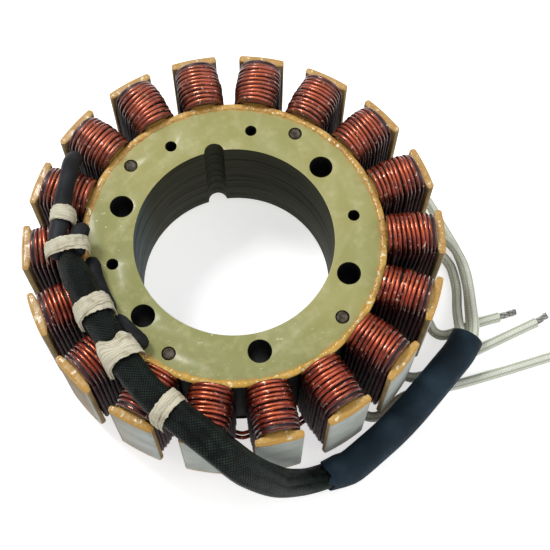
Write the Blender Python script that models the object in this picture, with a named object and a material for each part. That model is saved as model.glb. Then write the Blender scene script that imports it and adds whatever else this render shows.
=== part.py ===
"""Wound stator of an outer-rotor motor.

A riveted stack of steel laminations carries eighteen T-shaped teeth. Each tooth
has its own coil, and a laced harness of three leads lies on the coils.
The bore's axis is +Z, the coils stand on z = 0 and the half-round notch is at +Y.
"""
import math

import bmesh
import bpy
from mathutils import Vector

MM = 0.001
GAP = 0.3 * MM

# Laminated stack: ring and bore are shares of its radius, neck and head of the pitch where they stand
POLES = 18
POLE_PITCH = math.tau / POLES
STACK_RADIUS = 62.0 * MM
STACK_HEIGHT = 35.0 * MM
RING_RADIUS = 0.7161 * STACK_RADIUS
BORE_RADIUS = 0.4758 * STACK_RADIUS
RING_PITCH = RING_RADIUS * POLE_PITCH
HEAD_PITCH = STACK_RADIUS * POLE_PITCH
NECK_WIDTH = 0.4646 * RING_PITCH
HEAD_WIDTH = 0.6469 * HEAD_PITCH
HEAD_THICKNESS = 2.6 * MM
HEAD_TIP_THICKNESS = 1.9 * MM
TIP_FLARE = 0.15
TIP_FLAT = 0.35
RIM_SHARES = (-0.95, -0.5, 0.0, 0.5, 0.95)
COAT_CHAMFER = 0.5 * MM
FIRST_POLE_ANGLE = math.radians(70.0)
NOTCH_ANGLE = math.radians(90.0)
NOTCH_RADIUS = 3.0 * MM
NOTCH_DEPTH = 2.6 * MM
NOTCH_STEPS = 8
BORE_SEGMENTS = 60

# Holes in the ring
BOLT_HOLE_DIAMETER = 7.0 * MM
BOLT_CIRCLE_RADIUS = 0.5645 * STACK_RADIUS
BOLT_HOLE_SEGMENTS = 16
BOLT_HOLE_ANGLES = (30.0, 150.0, 210.0, 270.0, 330.0)
PILOT_HOLE_DIAMETER = 3.5 * MM
PILOT_CIRCLE_RADIUS = 0.5823 * STACK_RADIUS
PILOT_HOLE_ANGLES = (0.0, 70.0, 110.0, 180.0)
RIVET_DIAMETER = 3.5 * MM
RIVET_CIRCLE_RADIUS = 0.6339 * STACK_RADIUS
RIVET_ANGLES = (50.0, 130.0, 230.0, 310.0)
RIVET_PROUD = 0.25 * MM
RIVET_CHAMFER = 0.4 * MM
SMALL_HOLE_SEGMENTS = 12

# Coils
TURNS = 11
COIL_OVERHANG = 5.0 * MM
COIL_WIDTH = 0.8453 * RING_PITCH
COIL_BELLY = 0.4 * MM
COIL_CORNER = 5.0 * MM
TURN_GROOVE = 0.45 * MM

# Sleeves, tape and leads
JOINT_SLEEVE_DIAMETER = 5.4 * MM
HARNESS_DIAMETER = 9.0 * MM
HARNESS_MOUTH_SHARE = 0.85
SHRINK_DIAMETER = 10.6 * MM
LEAD_DIAMETER = 3.2 * MM
STRAND_DIAMETER = 2.2 * MM
TAPE_THICKNESS = 0.6 * MM
TAPE_WIDTH = 4.8 * MM

# Heights that follow from the sizes above
CORE_BOTTOM = COIL_OVERHANG
CORE_TOP = COIL_OVERHANG + STACK_HEIGHT
COIL_TOP = CORE_TOP + COIL_OVERHANG

# The routes below are drawn in this unit, for a stack, coils and tubes of these sizes in it
UNIT = 1.0 * MM
DRAWN_COIL_TOP = 45.0
DRAWN_SLEEVE = 5.4
DRAWN_HARNESS = 9.0
DRAWN_SHRINK = 10.6
DRAWN_LEAD = 3.2
RADIAL_GROWTH = STACK_RADIUS - 62.0 * UNIT
RING_GROWTH = RING_RADIUS - 44.4 * UNIT
SLEEVE_GROWTH = (JOINT_SLEEVE_DIAMETER - DRAWN_SLEEVE * UNIT) / 2
HARNESS_GROWTH = (HARNESS_DIAMETER - DRAWN_HARNESS * UNIT) / 2
SHRINK_GROWTH = (SHRINK_DIAMETER - DRAWN_SHRINK * UNIT) / 2
LEAD_GROWTH = (LEAD_DIAMETER - DRAWN_LEAD * UNIT) / 2

# Routes: each list is a centreline from the joint or mouth to the free end
SLOT_SLEEVE_ROUTE = (
    (-40.9, 34.2, 43.6), (-41.7, 32.2, 46.0), (-42.4, 29.9, 47.7), (-43.1, 27.3, 48.4),
    (-44.6, 23.4, 48.6), (-46.2, 19.2, 48.5), (-47.4, 15.2, 48.4), (-49.0, 10.2, 48.5),
    (-50.1, 6.0, 48.6), (-50.4, 2.3, 48.6),
)
STUB_SLEEVE_ROUTE = ((-41.7, 9.4, 48.1), (-43.6, 7.6, 48.2), (-44.3, 5.0, 48.3), (-44.3, 2.4, 48.3))
UPPER_EDGE_SLEEVE_ROUTE = (
    (-41.6, 0.8, 43.1), (-41.5, -4.0, 43.1), (-40.7, -9.0, 43.1), (-39.6, -13.2, 43.1), (-38.9, -15.3, 43.1),
)
LOWER_EDGE_SLEEVE_ROUTE = ((-37.4, -18.2, 43.1), (-35.3, -22.0, 43.1), (-33.2, -25.0, 43.1), (-31.6, -27.0, 43.1))
HARNESS_ROUTE = (
    (-47.6, 0.6, 49.7), (-47.1, -1.5, 49.9), (-46.1, -5.2, 50.0), (-44.7, -10.1, 50.0),
    (-43.3, -15.2, 50.0), (-41.2, -21.4, 50.0), (-39.0, -27.8, 50.0), (-36.5, -33.9, 50.0),
    (-33.5, -40.3, 50.0), (-30.0, -46.2, 50.0), (-26.2, -51.0, 50.0), (-20.8, -57.4, 48.9),
    (-15.8, -62.8, 45.4), (-11.3, -66.7, 39.5), (-6.4, -68.6, 30.5), (-1.2, -69.0, 20.0),
    (4.0, -68.4, 11.5), (8.6, -67.8, 7.2), (12.8, -67.2, 5.5), (16.7, -66.6, 5.35),
)
SHRINK_ROUTE = (
    (17.8, -66.45, 5.6), (21.5, -65.8, 5.8), (28.3, -62.6, 7.6), (35.2, -59.0, 8.9), (42.0, -54.6, 9.2),
    (48.3, -50.0, 9.2), (56.0, -44.2, 9.2), (62.0, -39.6, 9.2), (66.0, -35.3, 9.2),
)
LEAD_ROUTES = (
    (
        (64.9, -33.0, 8.1), (65.6, -29.3, 5.7), (67.1, -23.5, 2.7), (68.9, -17.0, 1.8), (69.4, -12.0, 1.7),
        (69.0, -7.6, 1.7), (66.6, -3.2, 1.7), (62.5, -0.9, 1.7), (57.0, -0.1, 1.7), (50.0, 0.0, 1.7),
        (44.5, -0.2, 1.7), (40.6, -2.2, 1.7), (38.8, -6.8, 1.7), (39.2, -11.7, 1.7), (42.0, -15.3, 1.7),
        (46.8, -17.2, 1.7), (51.8, -19.1, 1.7), (55.5, -21.8, 1.7), (57.2, -25.4, 1.7), (58.0, -28.7, 1.7),
        (60.2, -30.6, 1.7), (63.8, -30.7, 1.7), (68.0, -29.8, 1.7), (73.5, -29.0, 1.7), (79.6, -28.6, 1.7),
    ),
    (
        (67.8, -35.5, 10.6), (69.4, -31.2, 9.4), (70.9, -25.0, 7.0), (72.2, -18.2, 5.6), (72.7, -12.5, 5.4),
        (72.2, -7.2, 5.4), (70.6, -2.4, 5.3), (67.8, 2.2, 4.4), (66.0, 7.2, 2.6), (64.5, 13.0, 1.7),
        (62.3, 18.4, 1.7), (58.9, 20.7, 1.7), (54.3, 19.8, 1.7), (47.0, 17.1, 1.7), (42.1, 15.4, 1.7),
        (38.2, 12.0, 1.7), (36.3, 7.2, 1.7), (35.9, 1.0, 1.7), (35.1, -7.4, 1.7), (32.4, -15.4, 1.7),
        (30.6, -20.4, 1.7), (31.6, -25.6, 1.7), (35.2, -29.6, 1.7), (38.5, -32.5, 1.7), (41.9, -36.2, 1.7),
        (44.2, -39.8, 1.7), (47.2, -42.0, 1.7), (51.4, -42.2, 1.7), (56.5, -41.2, 1.7), (71.6, -37.4, 1.7),
        (90.7, -32.9, 1.7),
    ),
    (
        (67.5, -35.2, 6.9), (69.1, -30.5, 5.5), (70.9, -24.4, 3.0), (72.5, -17.8, 1.75), (73.0, -12.0, 1.7),
        (73.0, -7.0, 1.7), (72.4, -2.2, 1.7), (71.2, 2.6, 1.7), (69.9, 8.0, 1.7), (68.6, 14.0, 1.7),
        (66.2, 20.4, 1.7), (62.0, 28.2, 1.7), (56.6, 35.4, 1.7), (51.0, 39.6, 1.7), (46.2, 39.0, 1.7),
        (41.5, 34.9, 1.7), (36.7, 30.9, 1.7), (33.2, 27.6, 1.7), (29.6, 21.6, 1.7), (29.0, 15.2, 1.7),
        (30.8, 9.2, 1.7), (32.1, 2.0, 1.7), (31.6, -6.2, 1.7), (29.1, -13.8, 1.7), (24.8, -20.7, 1.7),
        (20.9, -26.0, 1.7), (19.4, -31.0, 1.7), (20.4, -35.6, 1.7), (22.6, -39.2, 1.7), (25.2, -43.5, 1.7),
        (27.9, -48.0, 1.7), (31.0, -51.3, 1.7), (35.0, -51.6, 1.7), (39.0, -49.2, 1.7), (44.0, -47.3, 1.7),
        (52.0, -46.9, 1.7), (60.2, -47.3, 1.7), (75.7, -46.3, 1.7), (95.0, -44.7, 1.7),
    ),
)
STRAND_ROUTES = (
    ((79.95, -28.55, 1.7), (85.6, -28.1, 1.7)),
    ((91.0, -32.8, 1.7), (95.0, -31.3, 1.7)),
    ((95.35, -44.67, 1.7), (101.0, -44.2, 1.7)),
)

# Point spacing along each kind of tube
SLEEVE_STEP = 5.0 * MM
HARNESS_STEP = 6.0 * MM
LEAD_STEP = 6.5 * MM
CURVE_SPLITS = 12

# Tape bands: place in the plan, heading, width and height of what they hold, its axis height, its growth,
# the slack beside and above it, and the heights of the outer and the inner foot
TAPE_BANDS = (
    (-47.1, 14.3, -107.0, JOINT_SLEEVE_DIAMETER, JOINT_SLEEVE_DIAMETER, 48.4, SLEEVE_GROWTH, 0.8, 0.8, 45.4, 45.4),
    (-47.3, 4.0, -90.0, 2 * JOINT_SLEEVE_DIAMETER, JOINT_SLEEVE_DIAMETER, 48.2, SLEEVE_GROWTH, 1.3, 2.3, 45.4, 45.4),
    (-43.0, -16.4, -73.0, HARNESS_DIAMETER, HARNESS_DIAMETER, 50.0, HARNESS_GROWTH, 0.4, 0.4, 45.4, 46.2),
    (-37.7, -31.0, -68.0, HARNESS_DIAMETER, HARNESS_DIAMETER, 50.0, HARNESS_GROWTH, 0.4, 0.4, 45.4, 46.2),
    (-28.2, -48.5, -52.0, HARNESS_DIAMETER, HARNESS_DIAMETER, 50.0, HARNESS_GROWTH, 0.4, 0.4, 45.4, 45.4),
)
TAPE_ARCH_STEPS = 8


def clear_scene():
    """Remove every object that a new file or an earlier run left behind."""
    for item in list(bpy.data.objects):
        bpy.data.objects.remove(item, do_unlink=True)


def make_material(name, colour, roughness, metallic=0.0):
    """Return a Principled material in the piece's own colour."""
    material = bpy.data.materials.new(name)
    material.use_nodes = True
    shader = material.node_tree.nodes["Principled BSDF"]
    shader.inputs["Base Color"].default_value = (*colour, 1.0)
    shader.inputs["Roughness"].default_value = roughness
    shader.inputs["Metallic"].default_value = metallic
    material.diffuse_color = (*colour, 1.0)
    return material


def add_object(name, data, material=None):
    """Link an object with its material into the scene."""
    item = bpy.data.objects.new(name, data)
    if material is not None:
        data.materials.append(material)
    bpy.context.scene.collection.objects.link(item)
    return item


def mesh_from(name, build, smooth_angle=None):
    """Make a mesh from a function that fills a bmesh, with its faces pointing out."""
    shape = bmesh.new()
    build(shape)
    bmesh.ops.recalc_face_normals(shape, faces=shape.faces)
    mesh = bpy.data.meshes.new(name)
    shape.to_mesh(mesh)
    shape.free()
    if smooth_angle is not None:
        mesh.shade_smooth()
        mesh.set_sharp_from_angle(angle=smooth_angle)
    return mesh


def polar(radius, angle):
    """Return a point of the plan at a radius and an angle."""
    return Vector((radius * math.cos(angle), radius * math.sin(angle)))


def loft(shape, rows):
    """Join equal rows of points into a closed solid with flat ends."""
    rings = [[shape.verts.new(point) for point in row] for row in rows]
    count = len(rings[0])
    for low, high in zip(rings, rings[1:]):
        for i in range(count):
            j = (i + 1) % count
            shape.faces.new((low[i], low[j], high[j], high[i]))
    shape.faces.new(rings[0])
    shape.faces.new(rings[-1])


def shrink_outline(outline, distance):
    """Move an anticlockwise outline inwards by a distance, along its corners' bisectors."""
    moved = []
    count = len(outline)
    for i, point in enumerate(outline):
        before = (point - outline[i - 1]).normalized()
        after = (outline[(i + 1) % count] - point).normalized()
        inward = Vector((-before.y, before.x)) + Vector((-after.y, after.x))
        inward.normalize()
        slant = max(0.5, inward.dot(Vector((-after.y, after.x))))
        moved.append(point + inward * (distance / slant))
    return moved


def tooth_outline(angle):
    """Outline of one T-shaped tooth, anticlockwise, from the ring out and back again."""
    half_neck = NECK_WIDTH / 2
    half_head = HEAD_WIDTH / 2
    root = math.sqrt(RING_RADIUS ** 2 - half_neck ** 2)
    seat = STACK_RADIUS - HEAD_THICKNESS
    rim = math.sqrt(STACK_RADIUS ** 2 - half_head ** 2)
    lip = rim - HEAD_TIP_THICKNESS
    reach = math.asin(half_head / STACK_RADIUS)
    side = [
        Vector((root, -half_neck)),
        Vector((seat, -half_neck)),
        Vector((lip, -half_head + TIP_FLARE * HEAD_TIP_THICKNESS)),
        Vector((lip + TIP_FLAT * HEAD_TIP_THICKNESS, -half_head)),
    ]
    arc = [polar(STACK_RADIUS, reach * share) for share in RIM_SHARES]
    back = [Vector((point.x, -point.y)) for point in reversed(side)]
    turn = Vector((math.cos(angle), math.sin(angle)))
    points = []
    for point in side + arc + back:
        points.append(Vector((point.x * turn.x - point.y * turn.y, point.x * turn.y + point.y * turn.x)))
    return points


def core_outline():
    """Outline of the lamination: eighteen teeth joined by short arcs of the ring."""
    half_neck_angle = math.asin(NECK_WIDTH / 2 / RING_RADIUS)
    outline = []
    for pole in range(POLES):
        angle = FIRST_POLE_ANGLE + pole * POLE_PITCH
        outline += tooth_outline(angle)
        open_arc = POLE_PITCH - 2 * half_neck_angle
        for share in (1 / 3, 2 / 3):
            outline.append(polar(RING_RADIUS, angle + half_neck_angle + open_arc * share))
    return outline


def bore_outline():
    """Outline of the bore with its half-round notch, anticlockwise."""
    centre_radius = BORE_RADIUS + NOTCH_DEPTH - NOTCH_RADIUS
    half = math.asin(NOTCH_RADIUS / BORE_RADIUS)
    points = []
    for i in range(BORE_SEGMENTS + 1):
        points.append(polar(BORE_RADIUS, NOTCH_ANGLE + half + (math.tau - 2 * half) * i / BORE_SEGMENTS))
    centre = polar(centre_radius, NOTCH_ANGLE)
    for step in range(1, NOTCH_STEPS):
        bend = NOTCH_ANGLE - math.pi / 2 + math.pi * step / NOTCH_STEPS
        points.append(centre + polar(NOTCH_RADIUS, bend))
    return points


def add_cutter(name, outlines):
    """Make a wire-shown cutter that runs through the stack along each outline."""
    low = CORE_BOTTOM - COIL_OVERHANG / 2
    high = CORE_TOP + COIL_OVERHANG / 2

    def build(shape):
        for outline in outlines:
            loft(shape, [[(p.x, p.y, z) for p in outline] for z in (low, high)])

    cutter = add_object(name, mesh_from(name, build))
    cutter.hide_render = True
    cutter.display_type = "WIRE"
    return cutter


def circle_outlines(circle_radius, hole_diameter, angles, segments):
    """Return round outlines on a pitch circle."""
    outlines = []
    for degrees in angles:
        centre = polar(circle_radius, math.radians(degrees))
        ring = [centre + polar(hole_diameter / 2, math.tau * i / segments) for i in range(segments)]
        outlines.append(ring)
    return outlines


def build_core(material):
    """Make the coated lamination stack with its bore, notch, bolt, pilot and rivet holes."""
    outline = core_outline()
    inner = shrink_outline(outline, COAT_CHAMFER)

    def build(shape):
        loft(shape, [
            [(p.x, p.y, CORE_BOTTOM) for p in inner],
            [(p.x, p.y, CORE_BOTTOM + COAT_CHAMFER) for p in outline],
            [(p.x, p.y, CORE_TOP - COAT_CHAMFER) for p in outline],
            [(p.x, p.y, CORE_TOP) for p in inner],
        ])

    core = add_object("laminated_core", mesh_from("laminated_core", build, math.radians(35)), material)
    rivet_hole = RIVET_DIAMETER + 2 * GAP
    bolt_holes = circle_outlines(BOLT_CIRCLE_RADIUS, BOLT_HOLE_DIAMETER, BOLT_HOLE_ANGLES, BOLT_HOLE_SEGMENTS)
    pilot_holes = circle_outlines(PILOT_CIRCLE_RADIUS, PILOT_HOLE_DIAMETER, PILOT_HOLE_ANGLES, SMALL_HOLE_SEGMENTS)
    rivet_holes = circle_outlines(RIVET_CIRCLE_RADIUS, rivet_hole, RIVET_ANGLES, SMALL_HOLE_SEGMENTS)
    cutters = (
        add_cutter("bore_cutter", [bore_outline()]),
        add_cutter("hole_cutter", bolt_holes + pilot_holes + rivet_holes),
    )
    for cutter in cutters:
        cut = core.modifiers.new(cutter.name, "BOOLEAN")
        cut.operation = "DIFFERENCE"
        cut.solver = "EXACT"
        cut.object = cutter
    return core


def build_rivets(material):
    """Make the rivets that clamp the stack, each a pin with chamfered ends."""
    low = CORE_BOTTOM - RIVET_PROUD
    high = CORE_TOP + RIVET_PROUD
    steps = (
        (low, RIVET_DIAMETER / 2 - RIVET_CHAMFER),
        (low + RIVET_CHAMFER, RIVET_DIAMETER / 2),
        (high - RIVET_CHAMFER, RIVET_DIAMETER / 2),
        (high, RIVET_DIAMETER / 2 - RIVET_CHAMFER),
    )

    def build(shape):
        rows = []
        for z, radius in steps:
            ring = [polar(radius, math.tau * i / SMALL_HOLE_SEGMENTS) for i in range(SMALL_HOLE_SEGMENTS)]
            rows.append([(point.x, point.y, z) for point in ring])
        loft(shape, rows)

    mesh = mesh_from("core_rivet", build, math.radians(40))
    mesh.materials.append(material)
    for number, degrees in enumerate(RIVET_ANGLES, start=1):
        rivet = add_object(f"core_rivet_{number}", mesh)
        centre = polar(RIVET_CIRCLE_RADIUS, math.radians(degrees))
        rivet.location = (centre.x, centre.y, 0.0)


def coil_section(half_width, half_height):
    """Corner points of one turn, anticlockwise seen along the tooth from the bore."""
    corner = min(COIL_CORNER, half_width, half_height)
    straight = half_width - corner
    upright = half_height - corner
    return [
        (half_width, -upright), (half_width, upright), (straight, half_height), (-straight, half_height),
        (-half_width, upright), (-half_width, -upright), (-straight, -half_height), (straight, -half_height),
    ]


def coil_mesh(material):
    """Make one ridged coil around a tooth that points along +X."""
    start = RING_RADIUS + GAP
    end = STACK_RADIUS - HEAD_THICKNESS - GAP
    middle = (CORE_BOTTOM + CORE_TOP) / 2
    half_height = STACK_HEIGHT / 2 + COIL_OVERHANG
    hole_half_width = NECK_WIDTH / 2 + GAP
    hole_half_height = STACK_HEIGHT / 2 + GAP
    stations = 2 * TURNS + 1
    hole = (
        (hole_half_width, -hole_half_height), (hole_half_width, hole_half_height),
        (-hole_half_width, hole_half_height), (-hole_half_width, -hole_half_height),
    )

    def build(shape):
        rings = []
        for i in range(stations):
            share = i / (stations - 1)
            groove = 0.0 if i % 2 else TURN_GROOVE
            belly = COIL_BELLY * math.sin(math.pi * share)
            section = coil_section(COIL_WIDTH / 2 + belly - groove, half_height - groove)
            x = start + (end - start) * share
            rings.append([shape.verts.new((x, y, middle + z)) for y, z in section])
        for low, high in zip(rings, rings[1:]):
            for k in range(8):
                shape.faces.new((low[k], low[(k + 1) % 8], high[(k + 1) % 8], high[k]))
        mouths = [[shape.verts.new((x, y, middle + z)) for y, z in hole] for x in (start, end)]
        for outer, inner in ((rings[0], mouths[0]), (rings[-1], mouths[1])):
            for k in range(4):
                side = 2 * k + 1
                after = (side + 1) % 8
                shape.faces.new((outer[2 * k], outer[side], inner[(k + 1) % 4], inner[k]))
                shape.faces.new((outer[side], outer[after], inner[(k + 1) % 4]))
        for k in range(4):
            shape.faces.new((mouths[0][k], mouths[0][(k + 1) % 4], mouths[1][(k + 1) % 4], mouths[1][k]))

    mesh = mesh_from("coil", build, math.radians(30))
    mesh.materials.append(material)
    return mesh


def build_coils(material):
    """Place the eighteen coils, anticlockwise from the first tooth."""
    mesh = coil_mesh(material)
    for pole in range(POLES):
        coil = add_object(f"coil_{pole + 1:02d}", mesh)
        coil.rotation_euler = (0.0, 0.0, FIRST_POLE_ANGLE + pole * POLE_PITCH)


def on_stack(drawn, lift=0.0, growth=RADIAL_GROWTH, anchor=None):
    """Place a drawn point on the real stack: out with its radius or an anchor's, and up with its coils and by a lift."""
    plan = Vector((drawn[0], drawn[1])) * UNIT
    plan += Vector(anchor or drawn[:2]).normalized() * growth
    rise = min(1.0, drawn[2] / DRAWN_COIL_TOP) * (COIL_TOP - DRAWN_COIL_TOP * UNIT)
    return Vector((plan.x, plan.y, drawn[2] * UNIT + rise + lift))


def smooth_points(knots, step):
    """Read evenly spaced points from a smooth curve through a route's placed points."""
    knots = [knots[0] * 2 - knots[1]] + knots + [knots[-1] * 2 - knots[-2]]
    fine = []
    for i in range(1, len(knots) - 2):
        a, b, c, d = knots[i - 1:i + 3]
        for k in range(CURVE_SPLITS):
            t = k / CURVE_SPLITS
            fine.append(0.5 * (2 * b + (c - a) * t + (2 * a - 5 * b + 4 * c - d) * t ** 2
                               + (3 * b - a - 3 * c + d) * t ** 3))
    fine.append(knots[-2])
    lengths = [0.0]
    for low, high in zip(fine, fine[1:]):
        lengths.append(lengths[-1] + (high - low).length)
    count = max(2, round(lengths[-1] / step) + 1)
    points = []
    k = 0
    for i in range(count):
        target = lengths[-1] * i / (count - 1)
        while k < len(fine) - 2 and lengths[k + 1] < target:
            k += 1
        share = (target - lengths[k]) / max(1e-9, lengths[k + 1] - lengths[k])
        points.append(fine[k].lerp(fine[k + 1], min(1.0, share)))
    return points


def build_tube(name, places, diameter, step, material, mouth_share=1.0):
    """Make a capped tube through placed points, with its first point narrowed by a share."""
    points = smooth_points(places, step)
    curve = bpy.data.curves.new(name, "CURVE")
    curve.dimensions = "3D"
    curve.bevel_depth = diameter / 2
    curve.bevel_resolution = 2
    curve.use_fill_caps = True
    spline = curve.splines.new("POLY")
    spline.points.add(len(points) - 1)
    for slot, point in zip(spline.points, points):
        slot.co = (*point, 1.0)
    spline.points[0].radius = mouth_share
    return add_object(name, curve, material)


def build_tape(name, band, material):
    """Make one band of lacing tape as an arch with two feet."""
    x, y, heading, held_width, held_height, axis, lift, side_slack, top_slack, outer_low, inner_low = band
    angle = math.radians(heading)
    along = Vector((math.cos(angle), math.sin(angle), 0.0))
    across = Vector((-along.y, along.x, 0.0))
    centre = on_stack((x, y, 0.0))
    inside = held_width / 2 + side_slack * UNIT
    spring = on_stack((x, y, axis), lift).z
    rise = held_height / 2 + top_slack * UNIT
    outer_foot = on_stack((x, y, outer_low)).z
    inner_foot = on_stack((x, y, inner_low)).z

    def arch(extra):
        line = [(-inside - extra, outer_foot)]
        for step in range(TAPE_ARCH_STEPS + 1):
            bend = math.pi * (1 - step / TAPE_ARCH_STEPS)
            line.append(((inside + extra) * math.cos(bend), spring + (rise + extra) * math.sin(bend)))
        line.append((inside + extra, inner_foot))
        return line

    profile = arch(TAPE_THICKNESS) + list(reversed(arch(0.0)))

    def build(shape):
        rows = []
        for side in (-0.5, 0.5):
            offset = along * (TAPE_WIDTH * side)
            rows.append([centre + offset + across * u + Vector((0.0, 0.0, v)) for u, v in profile])
        loft(shape, rows)

    return add_object(name, mesh_from(name, build, math.radians(30)), material)


def build_harness(sleeve, woven, shrink, braid, strand, tape):
    """Make the joint sleeves, harness, shrink tube, leads, bare ends and lacing tape."""
    edge = RING_GROWTH - SLEEVE_GROWTH
    stub_band = TAPE_BANDS[1][:2]
    joints = (
        (SLOT_SLEEVE_ROUTE, RADIAL_GROWTH, None), (STUB_SLEEVE_ROUTE, RADIAL_GROWTH, stub_band),
        (UPPER_EDGE_SLEEVE_ROUTE, edge, None), (LOWER_EDGE_SLEEVE_ROUTE, edge, None),
    )
    for number, (route, growth, anchor) in enumerate(joints, start=1):
        places = [on_stack(point, SLEEVE_GROWTH, growth, anchor) for point in route]
        build_tube(f"joint_sleeve_{number}", places, JOINT_SLEEVE_DIAMETER, SLEEVE_STEP, sleeve)
    places = [on_stack(point, HARNESS_GROWTH) for point in HARNESS_ROUTE]
    build_tube("harness_sleeve", places, HARNESS_DIAMETER, HARNESS_STEP, woven, HARNESS_MOUTH_SHARE)
    places = [on_stack(point, SHRINK_GROWTH) for point in SHRINK_ROUTE]
    build_tube("heat_shrink_tube", places, SHRINK_DIAMETER, HARNESS_STEP, shrink)
    for number, route in enumerate(LEAD_ROUTES, start=1):
        places = [on_stack(point, LEAD_GROWTH) for point in route]
        build_tube(f"lead_{number}", places, LEAD_DIAMETER, LEAD_STEP, braid)
    for number, route in enumerate(STRAND_ROUTES, start=1):
        places = [on_stack(point, LEAD_GROWTH) for point in route]
        build_tube(f"lead_strands_{number}", places, STRAND_DIAMETER, LEAD_STEP, strand)
    for number, band in enumerate(TAPE_BANDS, start=1):
        build_tape(f"lacing_tape_{number}", band, tape)


def main():
    """Build the whole stator."""
    clear_scene()
    build_core(make_material("epoxy_coat", (0.52, 0.47, 0.19), 0.35))
    build_rivets(make_material("rivet_steel", (0.22, 0.2, 0.17), 0.5, 0.8))
    build_coils(make_material("enamelled_copper", (0.42, 0.1, 0.05), 0.28, 0.7))
    build_harness(
        sleeve=make_material("joint_sleeving", (0.03, 0.035, 0.045), 0.7),
        woven=make_material("woven_sleeving", (0.02, 0.022, 0.022), 0.85),
        shrink=make_material("shrink_tubing", (0.015, 0.03, 0.055), 0.5),
        braid=make_material("glass_braid", (0.6, 0.64, 0.55), 0.7),
        strand=make_material("tinned_strands", (0.5, 0.5, 0.5), 0.35, 0.9),
        tape=make_material("glass_tape", (0.72, 0.69, 0.56), 0.8),
    )


main()
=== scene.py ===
"""Looks of a wound stator: coated lamination stack, copper coils, laced harness and braided leads.

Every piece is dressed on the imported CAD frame, in metres: the bore's axis is +Z, the coils stand on z = 0
and the half-round notch is at +Y.
"""
import sys

import logging
import math
import random
from dataclasses import dataclass
from enum import Enum
from typing import Callable, Sequence

import bmesh
import bpy
import numpy as np
from mathutils import Matrix, Vector, noise


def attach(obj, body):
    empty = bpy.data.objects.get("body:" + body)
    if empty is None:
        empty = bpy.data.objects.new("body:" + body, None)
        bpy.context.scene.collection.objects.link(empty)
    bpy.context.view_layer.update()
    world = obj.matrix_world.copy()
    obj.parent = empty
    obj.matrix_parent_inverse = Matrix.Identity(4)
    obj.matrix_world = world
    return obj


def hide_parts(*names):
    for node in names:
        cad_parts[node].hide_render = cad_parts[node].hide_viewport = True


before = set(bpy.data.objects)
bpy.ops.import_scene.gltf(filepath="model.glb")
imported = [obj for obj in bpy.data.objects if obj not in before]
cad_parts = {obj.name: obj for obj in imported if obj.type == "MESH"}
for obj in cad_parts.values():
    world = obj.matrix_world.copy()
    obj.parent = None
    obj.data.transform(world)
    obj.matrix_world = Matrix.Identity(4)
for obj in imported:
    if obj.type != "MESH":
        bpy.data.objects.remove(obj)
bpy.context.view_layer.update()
LOG = logging.getLogger("wound_stator")
FLOW_MAP = "flow"

# Sockets of a colour mix node, which share their names with those for numbers and vectors
MIX_SHARE, MIX_FIRST, MIX_SECOND, MIX_RESULT = 0, 6, 7, 2

Point = tuple[float, float, float]
Colour = tuple[float, float, float]

# Centrelines of the cords and sleeves, each from its joint or mouth to its free end
SLOT_SLEEVE_ROUTE = (
    (-0.0409, 0.0342, 0.0436), (-0.0417, 0.0322, 0.046), (-0.0424, 0.0299, 0.0477), (-0.0431, 0.0273, 0.0484),
    (-0.0446, 0.0234, 0.0486), (-0.0462, 0.0192, 0.0485), (-0.0474, 0.0152, 0.0484), (-0.049, 0.0102, 0.0485),
    (-0.0501, 0.006, 0.0486), (-0.0504, 0.0023, 0.0486),
)
STUB_SLEEVE_ROUTE = (
    (-0.0417, 0.0094, 0.0481), (-0.0436, 0.0076, 0.0482), (-0.0443, 0.005, 0.0483), (-0.0443, 0.0024, 0.0483),
)
UPPER_EDGE_SLEEVE_ROUTE = (
    (-0.0416, 0.0008, 0.0431), (-0.0415, -0.004, 0.0431), (-0.0407, -0.009, 0.0431),
    (-0.0396, -0.0132, 0.0431), (-0.0389, -0.0153, 0.0431),
)
LOWER_EDGE_SLEEVE_ROUTE = (
    (-0.0374, -0.0182, 0.0431), (-0.0353, -0.022, 0.0431), (-0.0332, -0.025, 0.0431), (-0.0316, -0.027, 0.0431),
)
HARNESS_ROUTE = (
    (-0.0476, 0.0006, 0.0497), (-0.0471, -0.0015, 0.0499), (-0.0461, -0.0052, 0.05), (-0.0447, -0.0101, 0.05),
    (-0.0433, -0.0152, 0.05), (-0.0412, -0.0214, 0.05), (-0.039, -0.0278, 0.05), (-0.0365, -0.0339, 0.05),
    (-0.0335, -0.0403, 0.05), (-0.03, -0.0462, 0.05), (-0.0262, -0.051, 0.05), (-0.0208, -0.0574, 0.0489),
    (-0.0158, -0.0628, 0.0454), (-0.0113, -0.0667, 0.0395), (-0.0064, -0.0686, 0.0305), (-0.0012, -0.069, 0.02),
    (0.004, -0.0684, 0.0115), (0.0086, -0.0678, 0.0072), (0.0128, -0.0672, 0.0055), (0.0167, -0.0666, 0.00535),
)
SHRINK_ROUTE = (
    (0.0178, -0.06645, 0.0056), (0.0215, -0.0658, 0.0058), (0.0283, -0.0626, 0.0076),
    (0.0352, -0.059, 0.0089), (0.042, -0.0546, 0.0092),
    (0.0483, -0.05, 0.0092), (0.056, -0.0442, 0.0092), (0.062, -0.0396, 0.0092), (0.066, -0.0353, 0.0092),
)
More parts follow.
